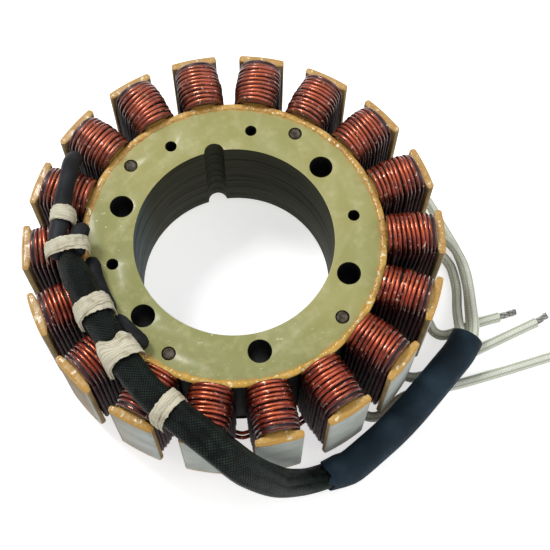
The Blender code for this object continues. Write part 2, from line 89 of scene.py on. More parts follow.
LEAD_ROUTES = (
    (
        (0.0649, -0.033, 0.0081), (0.0656, -0.0293, 0.0057), (0.0671, -0.0235, 0.0027),
        (0.0689, -0.017, 0.0018), (0.0694, -0.012, 0.0017),
        (0.069, -0.0076, 0.0017), (0.0666, -0.0032, 0.0017), (0.0625, -0.0009, 0.0017),
        (0.057, -0.0001, 0.0017), (0.05, 0, 0.0017),
        (0.0445, -0.0002, 0.0017), (0.0406, -0.0022, 0.0017), (0.0388, -0.0068, 0.0017),
        (0.0392, -0.0117, 0.0017), (0.042, -0.0153, 0.0017),
        (0.0468, -0.0172, 0.0017), (0.0518, -0.0191, 0.0017), (0.0555, -0.0218, 0.0017),
        (0.0572, -0.0254, 0.0017), (0.058, -0.0287, 0.0017),
        (0.0602, -0.0306, 0.0017), (0.0638, -0.0307, 0.0017), (0.068, -0.0298, 0.0017),
        (0.0735, -0.029, 0.0017), (0.0796, -0.0286, 0.0017),
    ),
    (
        (0.0678, -0.0355, 0.0106), (0.0694, -0.0312, 0.0094), (0.0709, -0.025, 0.007),
        (0.0722, -0.0182, 0.0056), (0.0727, -0.0125, 0.0054),
        (0.0722, -0.0072, 0.0054), (0.0706, -0.0024, 0.0053), (0.0678, 0.0022, 0.0044),
        (0.066, 0.0072, 0.0026), (0.0645, 0.013, 0.0017),
        (0.0623, 0.0184, 0.0017), (0.0589, 0.0207, 0.0017), (0.0543, 0.0198, 0.0017),
        (0.047, 0.0171, 0.0017), (0.0421, 0.0154, 0.0017),
        (0.0382, 0.012, 0.0017), (0.0363, 0.0072, 0.0017), (0.0359, 0.001, 0.0017),
        (0.0351, -0.0074, 0.0017), (0.0324, -0.0154, 0.0017),
        (0.0306, -0.0204, 0.0017), (0.0316, -0.0256, 0.0017), (0.0352, -0.0296, 0.0017),
        (0.0385, -0.0325, 0.0017), (0.0419, -0.0362, 0.0017),
        (0.0442, -0.0398, 0.0017), (0.0472, -0.042, 0.0017), (0.0514, -0.0422, 0.0017),
        (0.0565, -0.0412, 0.0017), (0.0716, -0.0374, 0.0017),
        (0.0907, -0.0329, 0.0017),
    ),
    (
        (0.0675, -0.0352, 0.0069), (0.0691, -0.0305, 0.0055), (0.0709, -0.0244, 0.003),
        (0.0725, -0.0178, 0.00175), (0.073, -0.012, 0.0017),
        (0.073, -0.007, 0.0017), (0.0724, -0.0022, 0.0017), (0.0712, 0.0026, 0.0017),
        (0.0699, 0.008, 0.0017), (0.0686, 0.014, 0.0017),
        (0.0662, 0.0204, 0.0017), (0.062, 0.0282, 0.0017), (0.0566, 0.0354, 0.0017),
        (0.051, 0.0396, 0.0017), (0.0462, 0.039, 0.0017),
        (0.0415, 0.0349, 0.0017), (0.0367, 0.0309, 0.0017), (0.0332, 0.0276, 0.0017),
        (0.0296, 0.0216, 0.0017), (0.029, 0.0152, 0.0017),
        (0.0308, 0.0092, 0.0017), (0.0321, 0.002, 0.0017), (0.0316, -0.0062, 0.0017),
        (0.0291, -0.0138, 0.0017), (0.0248, -0.0207, 0.0017),
        (0.0209, -0.026, 0.0017), (0.0194, -0.031, 0.0017), (0.0204, -0.0356, 0.0017),
        (0.0226, -0.0392, 0.0017), (0.0252, -0.0435, 0.0017),
        (0.0279, -0.048, 0.0017), (0.031, -0.0513, 0.0017), (0.035, -0.0516, 0.0017),
        (0.039, -0.0492, 0.0017), (0.044, -0.0473, 0.0017),
        (0.052, -0.0469, 0.0017), (0.0602, -0.0473, 0.0017), (0.0757, -0.0463, 0.0017), (0.095, -0.0447, 0.0017),
    ),
)
STRAND_ROUTES = (
    ((0.07995, -0.02855, 0.0017), (0.0856, -0.0281, 0.0017)),
    ((0.091, -0.0328, 0.0017), (0.095, -0.0313, 0.0017)),
    ((0.09535, -0.04467, 0.0017), (0.1007, -0.0442, 0.0017)),
)


def srgb(red: int, green: int, blue: int) -> Colour:
    """Turn a screen colour from 0 to 255 into the linear colour that a shader takes.

    Args:
        red: Red from 0 to 255.
        green: Green from 0 to 255.
        blue: Blue from 0 to 255.

    Returns:
        The linear colour.
    """
    shares = (red / 255, green / 255, blue / 255)
    linear = [s / 12.92 if s <= 0.04045 else ((s + 0.055) / 1.055) ** 2.4 for s in shares]
    return (linear[0], linear[1], linear[2])


def polar(radius: float, degrees: float, height: float = 0.0) -> Vector:
    """Return the point at a radius, an angle from +X in degrees and a height."""
    angle = math.radians(degrees)
    return Vector((radius * math.cos(angle), radius * math.sin(angle), height))


class Role(Enum):
    """Which face of the lamination stack a polygon belongs to."""

    END = 0
    TOOTH_SIDE = 1
    POLE_FACE = 2
    BORE = 3
    HOLE = 4


class CoilLayer(Enum):
    """Which finish of a coil a polygon wears."""

    END = 0
    FILLING = 1
    SIDE = 2


class Sheet:
    """Collects grids of points into one mesh with a flow map: how far along and how far around."""

    def __init__(self) -> None:
        """Start with no points."""
        self.points: list[np.ndarray] = []
        self.quads: list[np.ndarray] = []
        self.maps: list[np.ndarray] = []
        self.count = 0

    def add_grid(self, grid: np.ndarray, along: np.ndarray, around: np.ndarray, closed: bool) -> None:
        """Add a grid of points as quads.

        Args:
            grid: Points, rows along by columns around by three.
            along: The flow map's first number for each row.
            around: The flow map's second number for each column, and one more for a closed grid.
            closed: Whether the last column joins the first one.
        """
        rows, columns = grid.shape[:2]
        spans = columns if closed else columns - 1
        row, column = np.meshgrid(np.arange(rows - 1), np.arange(spans), indexing="ij")
        row, column = row.ravel(), column.ravel()
        after = (column + 1) % columns
        quads = np.stack([row * columns + column, row * columns + after,
                          (row + 1) * columns + after, (row + 1) * columns + column], 1)
        corner_rows = np.stack([row, row, row + 1, row + 1], 1)
        corner_columns = np.stack([column, column + 1, column + 1, column], 1)
        self.points.append(grid.reshape(-1, 3))
        self.quads.append(quads + self.count)
        self.maps.append(np.stack([along[corner_rows], around[corner_columns]], 2))
        self.count += rows * columns

    def add_cap(self, ring: np.ndarray, along: float, outward: bool, bulge: np.ndarray | None = None) -> None:
        """Close a ring of points with a small dome of two rings and a fan.

        Args:
            ring: The ring's points.
            along: The flow map's first number on the cap.
            outward: Whether the ring runs the way that its faces need, or the other way.
            bulge: How far the middle stands out from the ring's plane.
        """
        middle = ring.mean(0)
        reach = np.zeros(3) if bulge is None else bulge
        levels = ((1.0, 0.0), (0.8, 0.6), (0.45, 0.89), (0.02, 1.0))
        rows = [middle + (ring - middle) * wide + reach * high for wide, high in levels]
        grid = np.stack(rows if outward else rows[::-1])
        columns = len(ring)
        around = np.linspace(0.0, 1.0, columns + 1)
        self.add_grid(grid, np.full(len(rows), along), around, True)
        start = self.count - columns * (1 if outward else len(rows))
        fan = np.arange(columns) + start
        half = columns // 2
        turn = 1 if outward else -1
        for low in range(half - 1):
            high = columns - 1 - low
            quad = [fan[low], fan[low + 1], fan[high - 1], fan[high]][::turn]
            self.quads.append(np.array([quad]))
            self.maps.append(np.full((1, 4, 2), along))

    def mesh(self, name: str, smooth_degrees: float = 60.0) -> bpy.types.Mesh:
        """Make the mesh.

        Args:
            name: The mesh's name.
            smooth_degrees: Edges sharper than this stay sharp.

        Returns:
            The mesh, with its flow map.
        """
        points = np.concatenate(self.points)
        quads = np.concatenate(self.quads)
        data = bpy.data.meshes.new(name)
        data.vertices.add(len(points))
        data.vertices.foreach_set("co", points.astype(np.float32).ravel())
        data.loops.add(quads.size)
        data.loops.foreach_set("vertex_index", quads.astype(np.int32).ravel())
        data.polygons.add(len(quads))
        data.polygons.foreach_set("loop_start", np.arange(0, quads.size, 4, dtype=np.int32))
        data.update(calc_edges=True)
        layer = data.uv_layers.new(name=FLOW_MAP)
        layer.uv.foreach_set("vector", np.concatenate(self.maps).astype(np.float32).ravel())
        data.validate()
        data.shade_smooth()
        data.set_sharp_from_angle(angle=math.radians(smooth_degrees))
        return data


def place(name: str, data: bpy.types.Mesh, materials: Sequence[bpy.types.Material], slot: str,
          replaces: Sequence[str] = ()) -> bpy.types.Object:
    """Put a mesh into the scene as a piece of the stator.

    Args:
        name: The piece's name.
        data: Its mesh, in the row frame.
        materials: Its materials, in slot order.
        slot: The record's material slot; not used.
        replaces: The CAD nodes that it stands for.

    Returns:
        The new object.
    """
    piece = bpy.data.objects.new(name, data)
    bpy.context.scene.collection.objects.link(piece)
    for material in materials:
        data.materials.append(material)
    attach(piece, "root")
    if replaces:
        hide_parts(*replaces)
    LOG.info("%s: %d faces", name, len(data.polygons))
    return piece


def smooth_line(route: Sequence[Point], step: float) -> np.ndarray:
    """Read evenly spaced points from a smooth curve through a route's points.

    Args:
        route: The points that the curve passes.
        step: The wanted distance between the points that are read.

    Returns:
        The points, one per row.
    """
    knots = np.array(route, float)
    knots = np.vstack([2 * knots[0] - knots[1], knots, 2 * knots[-1] - knots[-2]])
    t = np.linspace(0.0, 1.0, 24, endpoint=False)[:, None]
    fine = []
    for a, b, c, d in zip(knots, knots[1:], knots[2:], knots[3:]):
        fine.append(0.5 * (2 * b + (c - a) * t + (2 * a - 5 * b + 4 * c - d) * t ** 2
                           + (3 * b - a - 3 * c + d) * t ** 3))
    line = np.vstack(fine + [knots[-2:-1]])
    lengths = np.concatenate([[0.0], np.cumsum(np.linalg.norm(np.diff(line, axis=0), axis=1))])
    count = max(3, round(lengths[-1] / step) + 1)
    wanted = np.linspace(0.0, lengths[-1], count)
    return np.stack([np.interp(wanted, lengths, line[:, axis]) for axis in range(3)], 1)


def line_length(line: np.ndarray) -> float:
    """Return the length of a line of points."""
    return float(np.linalg.norm(np.diff(line, axis=0), axis=1).sum())


def distances(line: np.ndarray) -> np.ndarray:
    """Return how far along a line of evenly spaced points each one lies."""
    return np.linspace(0.0, line_length(line), len(line))


def ring_angles(sides: int) -> np.ndarray:
    """Return the angles of a ring's corners."""
    return np.arange(sides) * math.tau / sides


def shaped_radii(along: np.ndarray, sides: int, shape: Callable[[float, float], float]) -> np.ndarray:
    """Work out a tube's radii.

    Args:
        along: The distances along the tube.
        sides: The corners of its ring.
        shape: Gives the radius from a distance and an angle.

    Returns:
        The radii, one row for each distance and one column for each corner.
    """
    angles = ring_angles(sides)
    return np.array([[shape(distance, bend) for bend in angles] for distance in along])


def carried_frames(line: np.ndarray, first_side: Sequence[float] = (0.0, 0.0, 1.0)) -> tuple[np.ndarray, np.ndarray]:
    """Carry two side directions along a line without twist.

    Args:
        line: The line's points.
        first_side: A direction that the first side lies close to.

    Returns:
        The two side directions at each point.
    """
    tangents = np.gradient(line, axis=0)
    tangents /= np.linalg.norm(tangents, axis=1)[:, None]
    side = np.array(first_side, float)
    sides = []
    for tangent in tangents:
        side = side - tangent * (side @ tangent)
        length = np.linalg.norm(side)
        side = side / length if length > 1e-6 else np.array([tangent[1], -tangent[0], 0.0])
        sides.append(side)
    first = np.array(sides)
    return first, np.cross(tangents, first)


def tube_grid(line: np.ndarray, radii: np.ndarray, sides: int, wide: np.ndarray | None = None,
              first_side: Sequence[float] = (0.0, 0.0, 1.0)) -> np.ndarray:
    """Sweep a ring along a line.

    Args:
        line: The centreline.
        radii: The radius at each point, or one for each point and each corner of the ring.
        sides: The ring's corners.
        wide: How much wider than high the ring is at each point.
        first_side: A direction that the ring's first corner lies close to.

    Returns:
        Points, rows along by columns around by three.
    """
    up, across = carried_frames(line, first_side)
    turn = ring_angles(sides)
    radii = np.asarray(radii, float)
    radii = radii[:, None] if radii.ndim == 1 else radii
    stretch = np.ones(len(line)) if wide is None else wide
    return (line[:, None, :] + up[:, None, :] * (radii * np.cos(turn))[:, :, None]
            + across[:, None, :] * (radii * np.sin(turn) * stretch[:, None])[:, :, None])


def add_tube(sheet: Sheet, grid: np.ndarray, line: np.ndarray, dome: float) -> None:
    """Add a swept tube with domed ends.

    Args:
        sheet: The sheet that takes it.
        grid: The tube's points.
        line: Its centreline.
        dome: How far its ends stand out.
    """
    lengths = np.concatenate([[0.0], np.cumsum(np.linalg.norm(np.diff(line, axis=0), axis=1))])
    sheet.add_grid(grid, lengths, np.linspace(0.0, 1.0, grid.shape[1] + 1), True)
    start = line[0] - line[1]
    end = line[-1] - line[-2]
    sheet.add_cap(grid[0], 0.0, False, start / np.linalg.norm(start) * dome)
    sheet.add_cap(grid[-1], float(lengths[-1]), True, end / np.linalg.norm(end) * dome)


class Painter:
    """Adds shader nodes to one material and joins them."""

    def __init__(self, name: str, roughness: float = 0.5, metallic: float = 0.0) -> None:
        """Start a material with a plain shader.

        Args:
            name: The material's name.
            roughness: The shader's roughness, unless a node sets it later.
            metallic: How metallic the shader is.
        """
        self.material = bpy.data.materials.new(name)
        self.material.use_nodes = True
        self.tree = self.material.node_tree
        self.shader = self.tree.nodes["Principled BSDF"]
        self.shader.inputs["Roughness"].default_value = roughness
        self.shader.inputs["Metallic"].default_value = metallic

    def node(self, kind: str, **settings: object) -> bpy.types.Node:
        """Add a node.

        Args:
            kind: The node's kind, without ShaderNode before it.
            settings: Its properties.

        Returns:
            The new node.
        """
        made = self.tree.nodes.new("ShaderNode" + kind)
        for key, value in settings.items():
            setattr(made, key, value)
        return made

    def feed(self, socket: bpy.types.NodeSocket, value: object) -> None:
        """Set a socket to a value, or join another socket to it.

        Args:
            socket: The socket that takes it.
            value: A number, a colour or a socket.
        """
        if isinstance(value, bpy.types.NodeSocket):
            self.tree.links.new(value, socket)
        elif isinstance(value, tuple) and len(value) == 3 and len(socket.default_value) == 4:
            socket.default_value = (*value, 1.0)
        else:
            socket.default_value = value

    def place(self) -> bpy.types.NodeSocket:
        """Return the place in the row frame."""
        return self.node("TexCoord").outputs["Object"]

    def flow(self) -> bpy.types.NodeSocket:
        """Return the place in the flow map."""
        return self.node("UVMap", uv_map=FLOW_MAP).outputs["UV"]

    def facing(self) -> bpy.types.NodeSocket:
        """Return the surface's direction in the row frame."""
        return self.node("NewGeometry").outputs["Normal"]

    def split(self, vector: bpy.types.NodeSocket) -> tuple[bpy.types.NodeSocket, ...]:
        """Take a vector apart.

        Args:
            vector: The vector.

        Returns:
            Its three numbers.
        """
        made = self.node("SeparateXYZ")
        self.feed(made.inputs[0], vector)
        return tuple(made.outputs)

    def stretch(self, vector: bpy.types.NodeSocket, scale: Point) -> bpy.types.NodeSocket:
        """Scale a vector.

        Args:
            vector: The vector.
            scale: The factors for its three numbers.

        Returns:
            The scaled vector.
        """
        made = self.node("VectorMath", operation="MULTIPLY")
        self.feed(made.inputs[0], vector)
        made.inputs[1].default_value = scale
        return made.outputs[0]

    def radius(self, x: bpy.types.NodeSocket, y: bpy.types.NodeSocket) -> bpy.types.NodeSocket:
        """Return the distance from the bore's axis."""
        return self.compute("SQRT", self.plus(self.times(x, x), self.times(y, y)))

    def plus(self, first: object, second: object) -> bpy.types.NodeSocket:
        """Add two numbers."""
        return self.compute("ADD", first, second)

    def times(self, first: object, second: object) -> bpy.types.NodeSocket:
        """Multiply two numbers."""
        return self.compute("MULTIPLY", first, second)

    def wave(self, angle: object) -> bpy.types.NodeSocket:
        """Return the size of an angle's sine, a row of round humps."""
        return self.compute("ABSOLUTE", self.compute("SINE", angle))

    def compute(self, operation: str, first: object, second: object = 0.0) -> bpy.types.NodeSocket:
        """Work out one arithmetic operation.

        Args:
            operation: Its name.
            first: Its first number.
            second: Its second number, where it takes one.

        Returns:
            The result.
        """
        made = self.node("Math", operation=operation)
        self.feed(made.inputs[0], first)
        self.feed(made.inputs[1], second)
        return made.outputs[0]

    def span(self, value: object, low: float, high: float, start: float = 0.0,
             end: float = 1.0) -> bpy.types.NodeSocket:
        """Map a number from one range to another, held at the ends.

        Args:
            value: The number.
            low: Where the first range starts.
            high: Where it ends.
            start: The result at its start.
            end: The result at its end.

        Returns:
            The mapped number.
        """
        made = self.node("MapRange", interpolation_type="SMOOTHSTEP")
        for socket, number in zip(made.inputs, (value, low, high, start, end)):
            self.feed(socket, number)
        return made.outputs[0]

    def noise(self, vector: bpy.types.NodeSocket, scale: float, detail: float = 2.0,
              roughness: float = 0.5) -> bpy.types.NodeSocket:
        """Add soft noise.

        Args:
            vector: The place that it is read at.
            scale: Its scale per metre.
            detail: How many finer layers it has.
            roughness: How strong the finer layers are.

        Returns:
            The noise, from 0 to 1.
        """
        made = self.node("TexNoise")
        self.feed(made.inputs["Vector"], vector)
        made.inputs["Scale"].default_value = scale
        made.inputs["Detail"].default_value = detail
        made.inputs["Roughness"].default_value = roughness
        return made.outputs[0]

    def mix(self, share: object, first: object, second: object) -> bpy.types.NodeSocket:
        """Mix two colours.

        Args:
            share: The second colour's share.
            first: The first colour.
            second: The second colour.

        Returns:
            The mixed colour.
        """
        made = self.node("Mix", data_type="RGBA")
        for socket, value in ((MIX_SHARE, share), (MIX_FIRST, first), (MIX_SECOND, second)):
            self.feed(made.inputs[socket], value)
        return made.outputs[MIX_RESULT]

    def relief(self, height: object, depth: float, strength: float = 1.0) -> None:
        """Give the shader a relief.

        Args:
            height: The height, from 0 to 1.
            depth: The relief's depth in metres.
            strength: How strongly it shows.
        """
        made = self.node("Bump")
        self.feed(made.inputs["Height"], height)
        made.inputs["Distance"].default_value = depth
        made.inputs["Strength"].default_value = strength
        self.feed(self.shader.inputs["Normal"], made.outputs[0])

    def coat(self, weight: float, roughness: float) -> None:
        """Put a clear coat on the shader."""
        self.shader.inputs["Coat Weight"].default_value = weight
        self.shader.inputs["Coat Roughness"].default_value = roughness

    def colour(self, value: object) -> None:
        """Set the shader's colour."""
        self.feed(self.shader.inputs["Base Color"], value)

    def roughness(self, value: object) -> None:
        """Set the shader's roughness."""
        self.feed(self.shader.inputs["Roughness"], value)

    def specular(self, level: float) -> None:
        """Set how strongly the shader mirrors lamps."""
        self.shader.inputs["Specular IOR Level"].default_value = level


# A finish's ranges are where one colour goes over into the next: radii, heights or places in metres


@dataclass(frozen=True)
class EpoxyCoat:
    """Olive epoxy on the stack's flat ends, amber where the varnish ran to the rim and the heads."""

    olive: Colour = srgb(172, 167, 104)
    green: Colour = srgb(152, 153, 94)
    amber: Colour = srgb(196, 150, 74)
    pale: Colour = srgb(206, 199, 150)
    glint: Colour = srgb(232, 230, 202)
    rim: tuple[float, float] = (0.0423, 0.0434)

    def material(self) -> bpy.types.Material:
        """Build the material.

        Returns:
            The material of the flat ends.
        """
        paint = Painter("epoxy_coat_end")
        place = paint.place()
        x, y, _ = paint.split(place)
        radius = paint.radius(x, y)
        lower_left = paint.span(paint.plus(x, y), 0.012, -0.035)
        cloud = paint.span(paint.noise(place, 22.0, 3.0), 0.35, 0.68, 0.0, 0.6)
        ground = paint.mix(paint.compute("MAXIMUM", cloud, lower_left), self.olive, self.green)
        mottle = paint.span(paint.noise(place, 260.0, 3.0, 0.6), 0.45, 0.75, 0.0, 0.35)
        ground = paint.mix(mottle, ground, self.pale)
        # Painted glints of the coat: pale streaks, only towards the lower left.
        painted_glint_streaks = paint.noise(paint.stretch(place, (1.0, 2.6, 1.0)), 430.0, 2.0, 0.6)
        glints = paint.times(paint.span(painted_glint_streaks, 0.69, 0.73, 0.0, 0.85), lower_left)
        ground = paint.mix(glints, ground, self.glint)
        wander = paint.span(paint.noise(place, 420.0, 2.0), 0.2, 0.8, -0.0006, 0.0006)
        rim = paint.span(paint.plus(radius, wander), *self.rim)
        paint.colour(paint.mix(rim, ground, self.amber))
        paint.roughness(paint.span(paint.noise(place, 90.0, 2.0), 0.3, 0.7, 0.32, 0.48))
        paint.specular(0.35)
        paint.coat(0.18, 0.14)
        paint.relief(paint.noise(place, 170.0, 3.0, 0.45), 0.0002, 0.5)
        return paint.material


@dataclass(frozen=True)
class ToothSideCoat:
    """Brown-grey sides of the teeth and heads, with varnish runs down the stack, painted near-black for the shade deep
    in the slots by the ring.
    """

    tan: Colour = srgb(198, 166, 114)
    grey: Colour = srgb(160, 142, 106)
    dark: Colour = srgb(122, 98, 66)
    black: Colour = srgb(14, 11, 9)
    slot: tuple[float, float] = (0.0575, 0.0562)

    def material(self) -> bpy.types.Material:
        """Build the material.

        Returns:
            The material of the teeth's sides.
        """
        paint = Painter("epoxy_coat_side")
        place = paint.place()
        runs = paint.noise(paint.stretch(place, (1.0, 1.0, 0.12)), 420.0, 3.0, 0.6)
        ground = paint.mix(paint.span(runs, 0.35, 0.65), self.tan, self.grey)
        ground = paint.mix(paint.span(paint.noise(place, 150.0, 3.0), 0.5, 0.8, 0.0, 0.6), ground, self.dark)
        x, y, _ = paint.split(place)
        # Painted shade: near-black inside the slot radius, deep between the coils.
        paint.colour(paint.mix(paint.span(paint.radius(x, y), *self.slot), ground, self.black))
        paint.roughness(paint.span(runs, 0.3, 0.7, 0.6, 0.8))
        paint.specular(0.12)
        sheets = paint.noise(paint.stretch(place, (0.03, 0.03, 1.0)), 1900.0, 1.0)
        paint.relief(paint.plus(runs, paint.times(sheets, 0.5)), 0.0002, 0.6)
        return paint.material


@dataclass(frozen=True)
class PoleFaceCoat:
    """Thin grey-green coat on the ground pole faces, with the sheets' edges showing through."""

    grey: Colour = srgb(194, 200, 194)
    shade: Colour = srgb(174, 179, 171)
    stain_and_side_shade: Colour = srgb(148, 123, 88)
    amber: Colour = srgb(196, 152, 76)
    top: tuple[float, float] = (0.0387, 0.0394)
    foot: tuple[float, float] = (0.0062, 0.0055)

    def material(self) -> bpy.types.Material:
        """Build the material.

        Returns:
            The material of the pole faces.
        """
        paint = Painter("epoxy_coat_pole_face")
        place = paint.place()
        _, _, z = paint.split(place)
        sheets = paint.noise(paint.stretch(place, (0.02, 0.02, 1.0)), 2000.0, 1.0)
        cloud = paint.noise(place, 120.0, 4.0, 0.6)
        ground = paint.mix(paint.span(cloud, 0.35, 0.7), self.grey, self.shade)
        ground = paint.mix(paint.span(sheets, 0.4, 0.75, 0.0, 0.45), ground, self.shade)
        sideways = paint.split(paint.facing())[0]
        # Painted shade: brown on the pole faces that turn to the left and to the right.
        ground = paint.mix(paint.span(sideways, -0.55, -0.9, 0.0, 0.85), ground, self.stain_and_side_shade)
        ground = paint.mix(paint.span(sideways, 0.68, 0.88, 0.0, 0.85), ground, self.stain_and_side_shade)
        wander = paint.span(paint.noise(place, 500.0, 2.0), 0.2, 0.8, -0.0007, 0.0007)
        height = paint.plus(z, wander)
        ends = paint.compute("MAXIMUM", paint.span(height, *self.top), paint.span(height, *self.foot))
        paint.colour(paint.mix(ends, ground, self.amber))
        paint.roughness(paint.span(cloud, 0.3, 0.7, 0.5, 0.65))
        paint.specular(0.2)
        paint.relief(sheets, 0.00008, 0.5)
        return paint.material


@dataclass(frozen=True)
class BoreWall:
    """Dark machined wall of the bore, banded by its sheets."""

    olive: Colour = srgb(60, 61, 43)
    blue: Colour = srgb(92, 106, 106)
    black: Colour = srgb(37, 38, 26)
    lit_side: tuple[float, float] = (-0.02, -0.029)

    def material(self) -> bpy.types.Material:
        """Build the material.

        Returns:
            The material of the bore.
        """
        paint = Painter("bore_wall")
        place = paint.place()
        x = paint.split(place)[0]
        bands = paint.noise(paint.stretch(place, (0.05, 0.05, 1.0)), 420.0, 4.0, 0.7)
        sheets = paint.noise(paint.stretch(place, (0.02, 0.02, 1.0)), 2000.0, 0.0)
        side = paint.span(x, *self.lit_side)
        ground = paint.mix(side, self.olive, self.blue)
        paint.colour(paint.mix(paint.span(bands, 0.42, 0.7, 0.0, 0.75), ground, self.black))
        paint.roughness(paint.span(bands, 0.3, 0.7, 0.6, 0.75))
        paint.specular(0.12)
        paint.relief(paint.plus(paint.times(bands, 0.6), sheets), 0.00009, 0.6)
        return paint.material


@dataclass(frozen=True)
class HoleWall:
    """Wall of the holes, painted near-black for the shade inside them, with dark brown bands near the top."""

    black: Colour = srgb(11, 14, 13)
    brown: Colour = srgb(46, 42, 30)
    mouth: tuple[float, float] = (0.0375, 0.0397)

    def material(self) -> bpy.types.Material:
        """Build the material.

        Returns:
            The material of the holes.
        """
        paint = Painter("hole_wall", roughness=0.6)
        place = paint.place()
        _, _, z = paint.split(place)
        mouth = paint.span(z, *self.mouth, 0.0, 0.7)
        bands = paint.noise(paint.stretch(place, (0.05, 0.05, 1.0)), 1200.0, 2.0)
        paint.colour(paint.mix(paint.times(mouth, bands), self.black, self.brown))
        paint.relief(bands, 0.0001, 0.5)
        return paint.material


@dataclass(frozen=True)
class Varnish:
    """Amber impregnating varnish in lumps and pools, clear and glossy."""

    name: str = "amber_varnish"
    amber: Colour = srgb(212, 166, 84)
    honey: Colour = srgb(188, 136, 60)
    straw: Colour = srgb(225, 192, 112)
    gold: Colour = srgb(217, 170, 56)
    relief: float = 0.0001
    clear: float = 0.3
    glint: Colour = srgb(250, 240, 200)

    def material(self) -> bpy.types.Material:
        """Build the material.

        Returns:
            The varnish.
        """
        paint = Painter(self.name)
        place = paint.place()
        cloud = paint.noise(place, 330.0, 3.0, 0.6)
        ground = paint.mix(paint.span(cloud, 0.38, 0.62), self.honey, self.amber)
        _, y, _ = paint.split(place)
        ground = paint.mix(paint.span(y, 0.0, -0.045, 0.0, 0.7), ground, self.gold)
        fleck = paint.noise(place, 900.0, 2.0, 0.6)
        ground = paint.mix(paint.span(fleck, 0.5, 0.68, 0.0, 0.75), ground, self.straw)
        # Painted glints: pale spots where this noise peaks.
        painted_glint_spots = paint.noise(place, 640.0, 1.0, 0.6)
        paint.colour(paint.mix(paint.span(painted_glint_spots, 0.64, 0.7, 0.0, 0.85), ground, self.glint))
        paint.roughness(paint.span(cloud, 0.3, 0.7, 0.3, 0.46))
        paint.coat(self.clear, 0.1)
        paint.relief(fleck, self.relief, 0.6)
        return paint.material


@dataclass(frozen=True)
class EnamelledCopper:
    """Red-brown enamel on copper wire, with varnish on top: painted highlights and glints on the crests, painted shade
    on the flanks and over the outer turns, a painted sheen on the upper coils, and purple down the coils' sides, partly
    pooled varnish and partly painted shade.
    """

    name: str = "enamelled_copper"
    clear: float = 0.6
    shine: float = 0.35
    bright: Colour = srgb(230, 118, 70)
    red: Colour = srgb(178, 70, 43)
    brown: Colour = srgb(122, 43, 27)
    flank: Colour = srgb(66, 21, 16)
    upper_painted_sheen: Colour = srgb(186, 128, 108)
    purple: Colour = srgb(58, 26, 31)
    night: Colour = srgb(17, 8, 10)
    glint: Colour = srgb(248, 212, 190)
    runs: Colour = srgb(142, 112, 110)
    crown: tuple[float, float] = (0.0335, 0.0425)
    foot: tuple[float, float] = (0.0115, 0.0025)
    outer: tuple[float, float] = (0.0555, 0.0588)

    def material(self) -> bpy.types.Material:
        """Build the material.

        Returns:
            The wire's enamel.
        """
        paint = Painter(self.name)
        place = paint.place()
        x, y, z = paint.split(place)
        radius = paint.radius(x, y)
        patch = paint.noise(place, 260.0, 3.0, 0.6)
        ground = paint.mix(paint.span(patch, 0.36, 0.62), self.brown, self.red)
        # Painted highlight on the crests, where the wire faces straight up or down, and painted shade on the flanks.
        up = paint.compute("ABSOLUTE", paint.split(paint.facing())[2])
        ground = paint.mix(paint.span(up, 0.9, 0.998, 0.0, 0.9), ground, self.bright)
        ground = paint.mix(paint.span(up, 0.3, 0.8), self.flank, ground)
        # Painted sheen: the upper coils lighter and paler.
        ground = paint.mix(paint.span(y, -0.015, 0.04, 0.0, 0.16), ground, self.upper_painted_sheen)
        # Down the sides, between the crown and the foot: purple and near-black, partly pooled varnish and partly
        # painted shade, with pale runs.
        top = paint.compute("MAXIMUM", paint.span(z, *self.crown), paint.span(z, *self.foot))
        deep = paint.mix(paint.span(paint.noise(place, 180.0, 2.0), 0.35, 0.6), self.night, self.purple)
        streak = paint.noise(paint.stretch(place, (1.0, 1.0, 0.14)), 240.0, 2.0, 0.55)
        deep = paint.mix(paint.span(streak, 0.6, 0.68, 0.0, 0.55), deep, self.runs)
        ground = paint.mix(top, deep, ground)
        # Painted shade: purple over the outermost turns by the head.
        wander = paint.span(patch, 0.2, 0.8, -0.0012, 0.0012)
        outer = paint.span(paint.plus(radius, wander), *self.outer, 0.0, 0.75)
        ground = paint.mix(outer, ground, self.purple)
        # Painted glints: pale spots on the crown and the foot.
        fleck = paint.span(paint.noise(place, 760.0, 2.0, 0.7), 0.63, 0.69, 0.0, 0.85)
        paint.colour(paint.mix(paint.times(fleck, top), ground, self.glint))
        paint.feed(paint.shader.inputs["Metallic"], paint.span(top, 0.0, 1.0, 0.0, 0.45))
        dull = paint.compute("SUBTRACT", patch, paint.times(top, 0.5))
        paint.roughness(paint.span(dull, -0.2, 0.6, 0.24, 0.62))
        paint.coat(self.clear, 0.1)
        paint.specular(self.shine)
        paint.relief(paint.noise(place, 700.0, 2.0, 0.5), 0.00007, 0.6)
        return paint.material


@dataclass(frozen=True)
class CoilHollow:
    """Filling under the turns, painted near-black for the shade in the gaps between them."""

    dark: Colour = srgb(40, 20, 16)
    purple: Colour = srgb(28, 20, 26)

    def material(self) -> bpy.types.Material:
        """Build the material.

        Returns:
            The filling between the turns.
        """
        paint = Painter("coil_filling", roughness=0.45)
        cloud = paint.noise(paint.place(), 400.0, 2.0)
        paint.colour(paint.mix(cloud, self.dark, self.purple))
        paint.relief(cloud, 0.0002, 0.5)
        return paint.material


@dataclass(frozen=True)
class Steel:
    """Dull steel of the rivets' flat heads."""

    light: Colour = srgb(92, 83, 68)
    dark: Colour = srgb(46, 40, 31)

    def material(self) -> bpy.types.Material:
        """Build the material.

        Returns:
            The steel.
        """
        paint = Painter("rivet_steel", metallic=0.4)
        place = paint.place()
        worn = paint.noise(place, 900.0, 3.0, 0.6)
        paint.colour(paint.mix(paint.span(worn, 0.35, 0.65), self.dark, self.light))
        paint.roughness(paint.span(worn, 0.3, 0.7, 0.38, 0.6))
        paint.relief(worn, 0.00008, 0.5)
        return paint.material


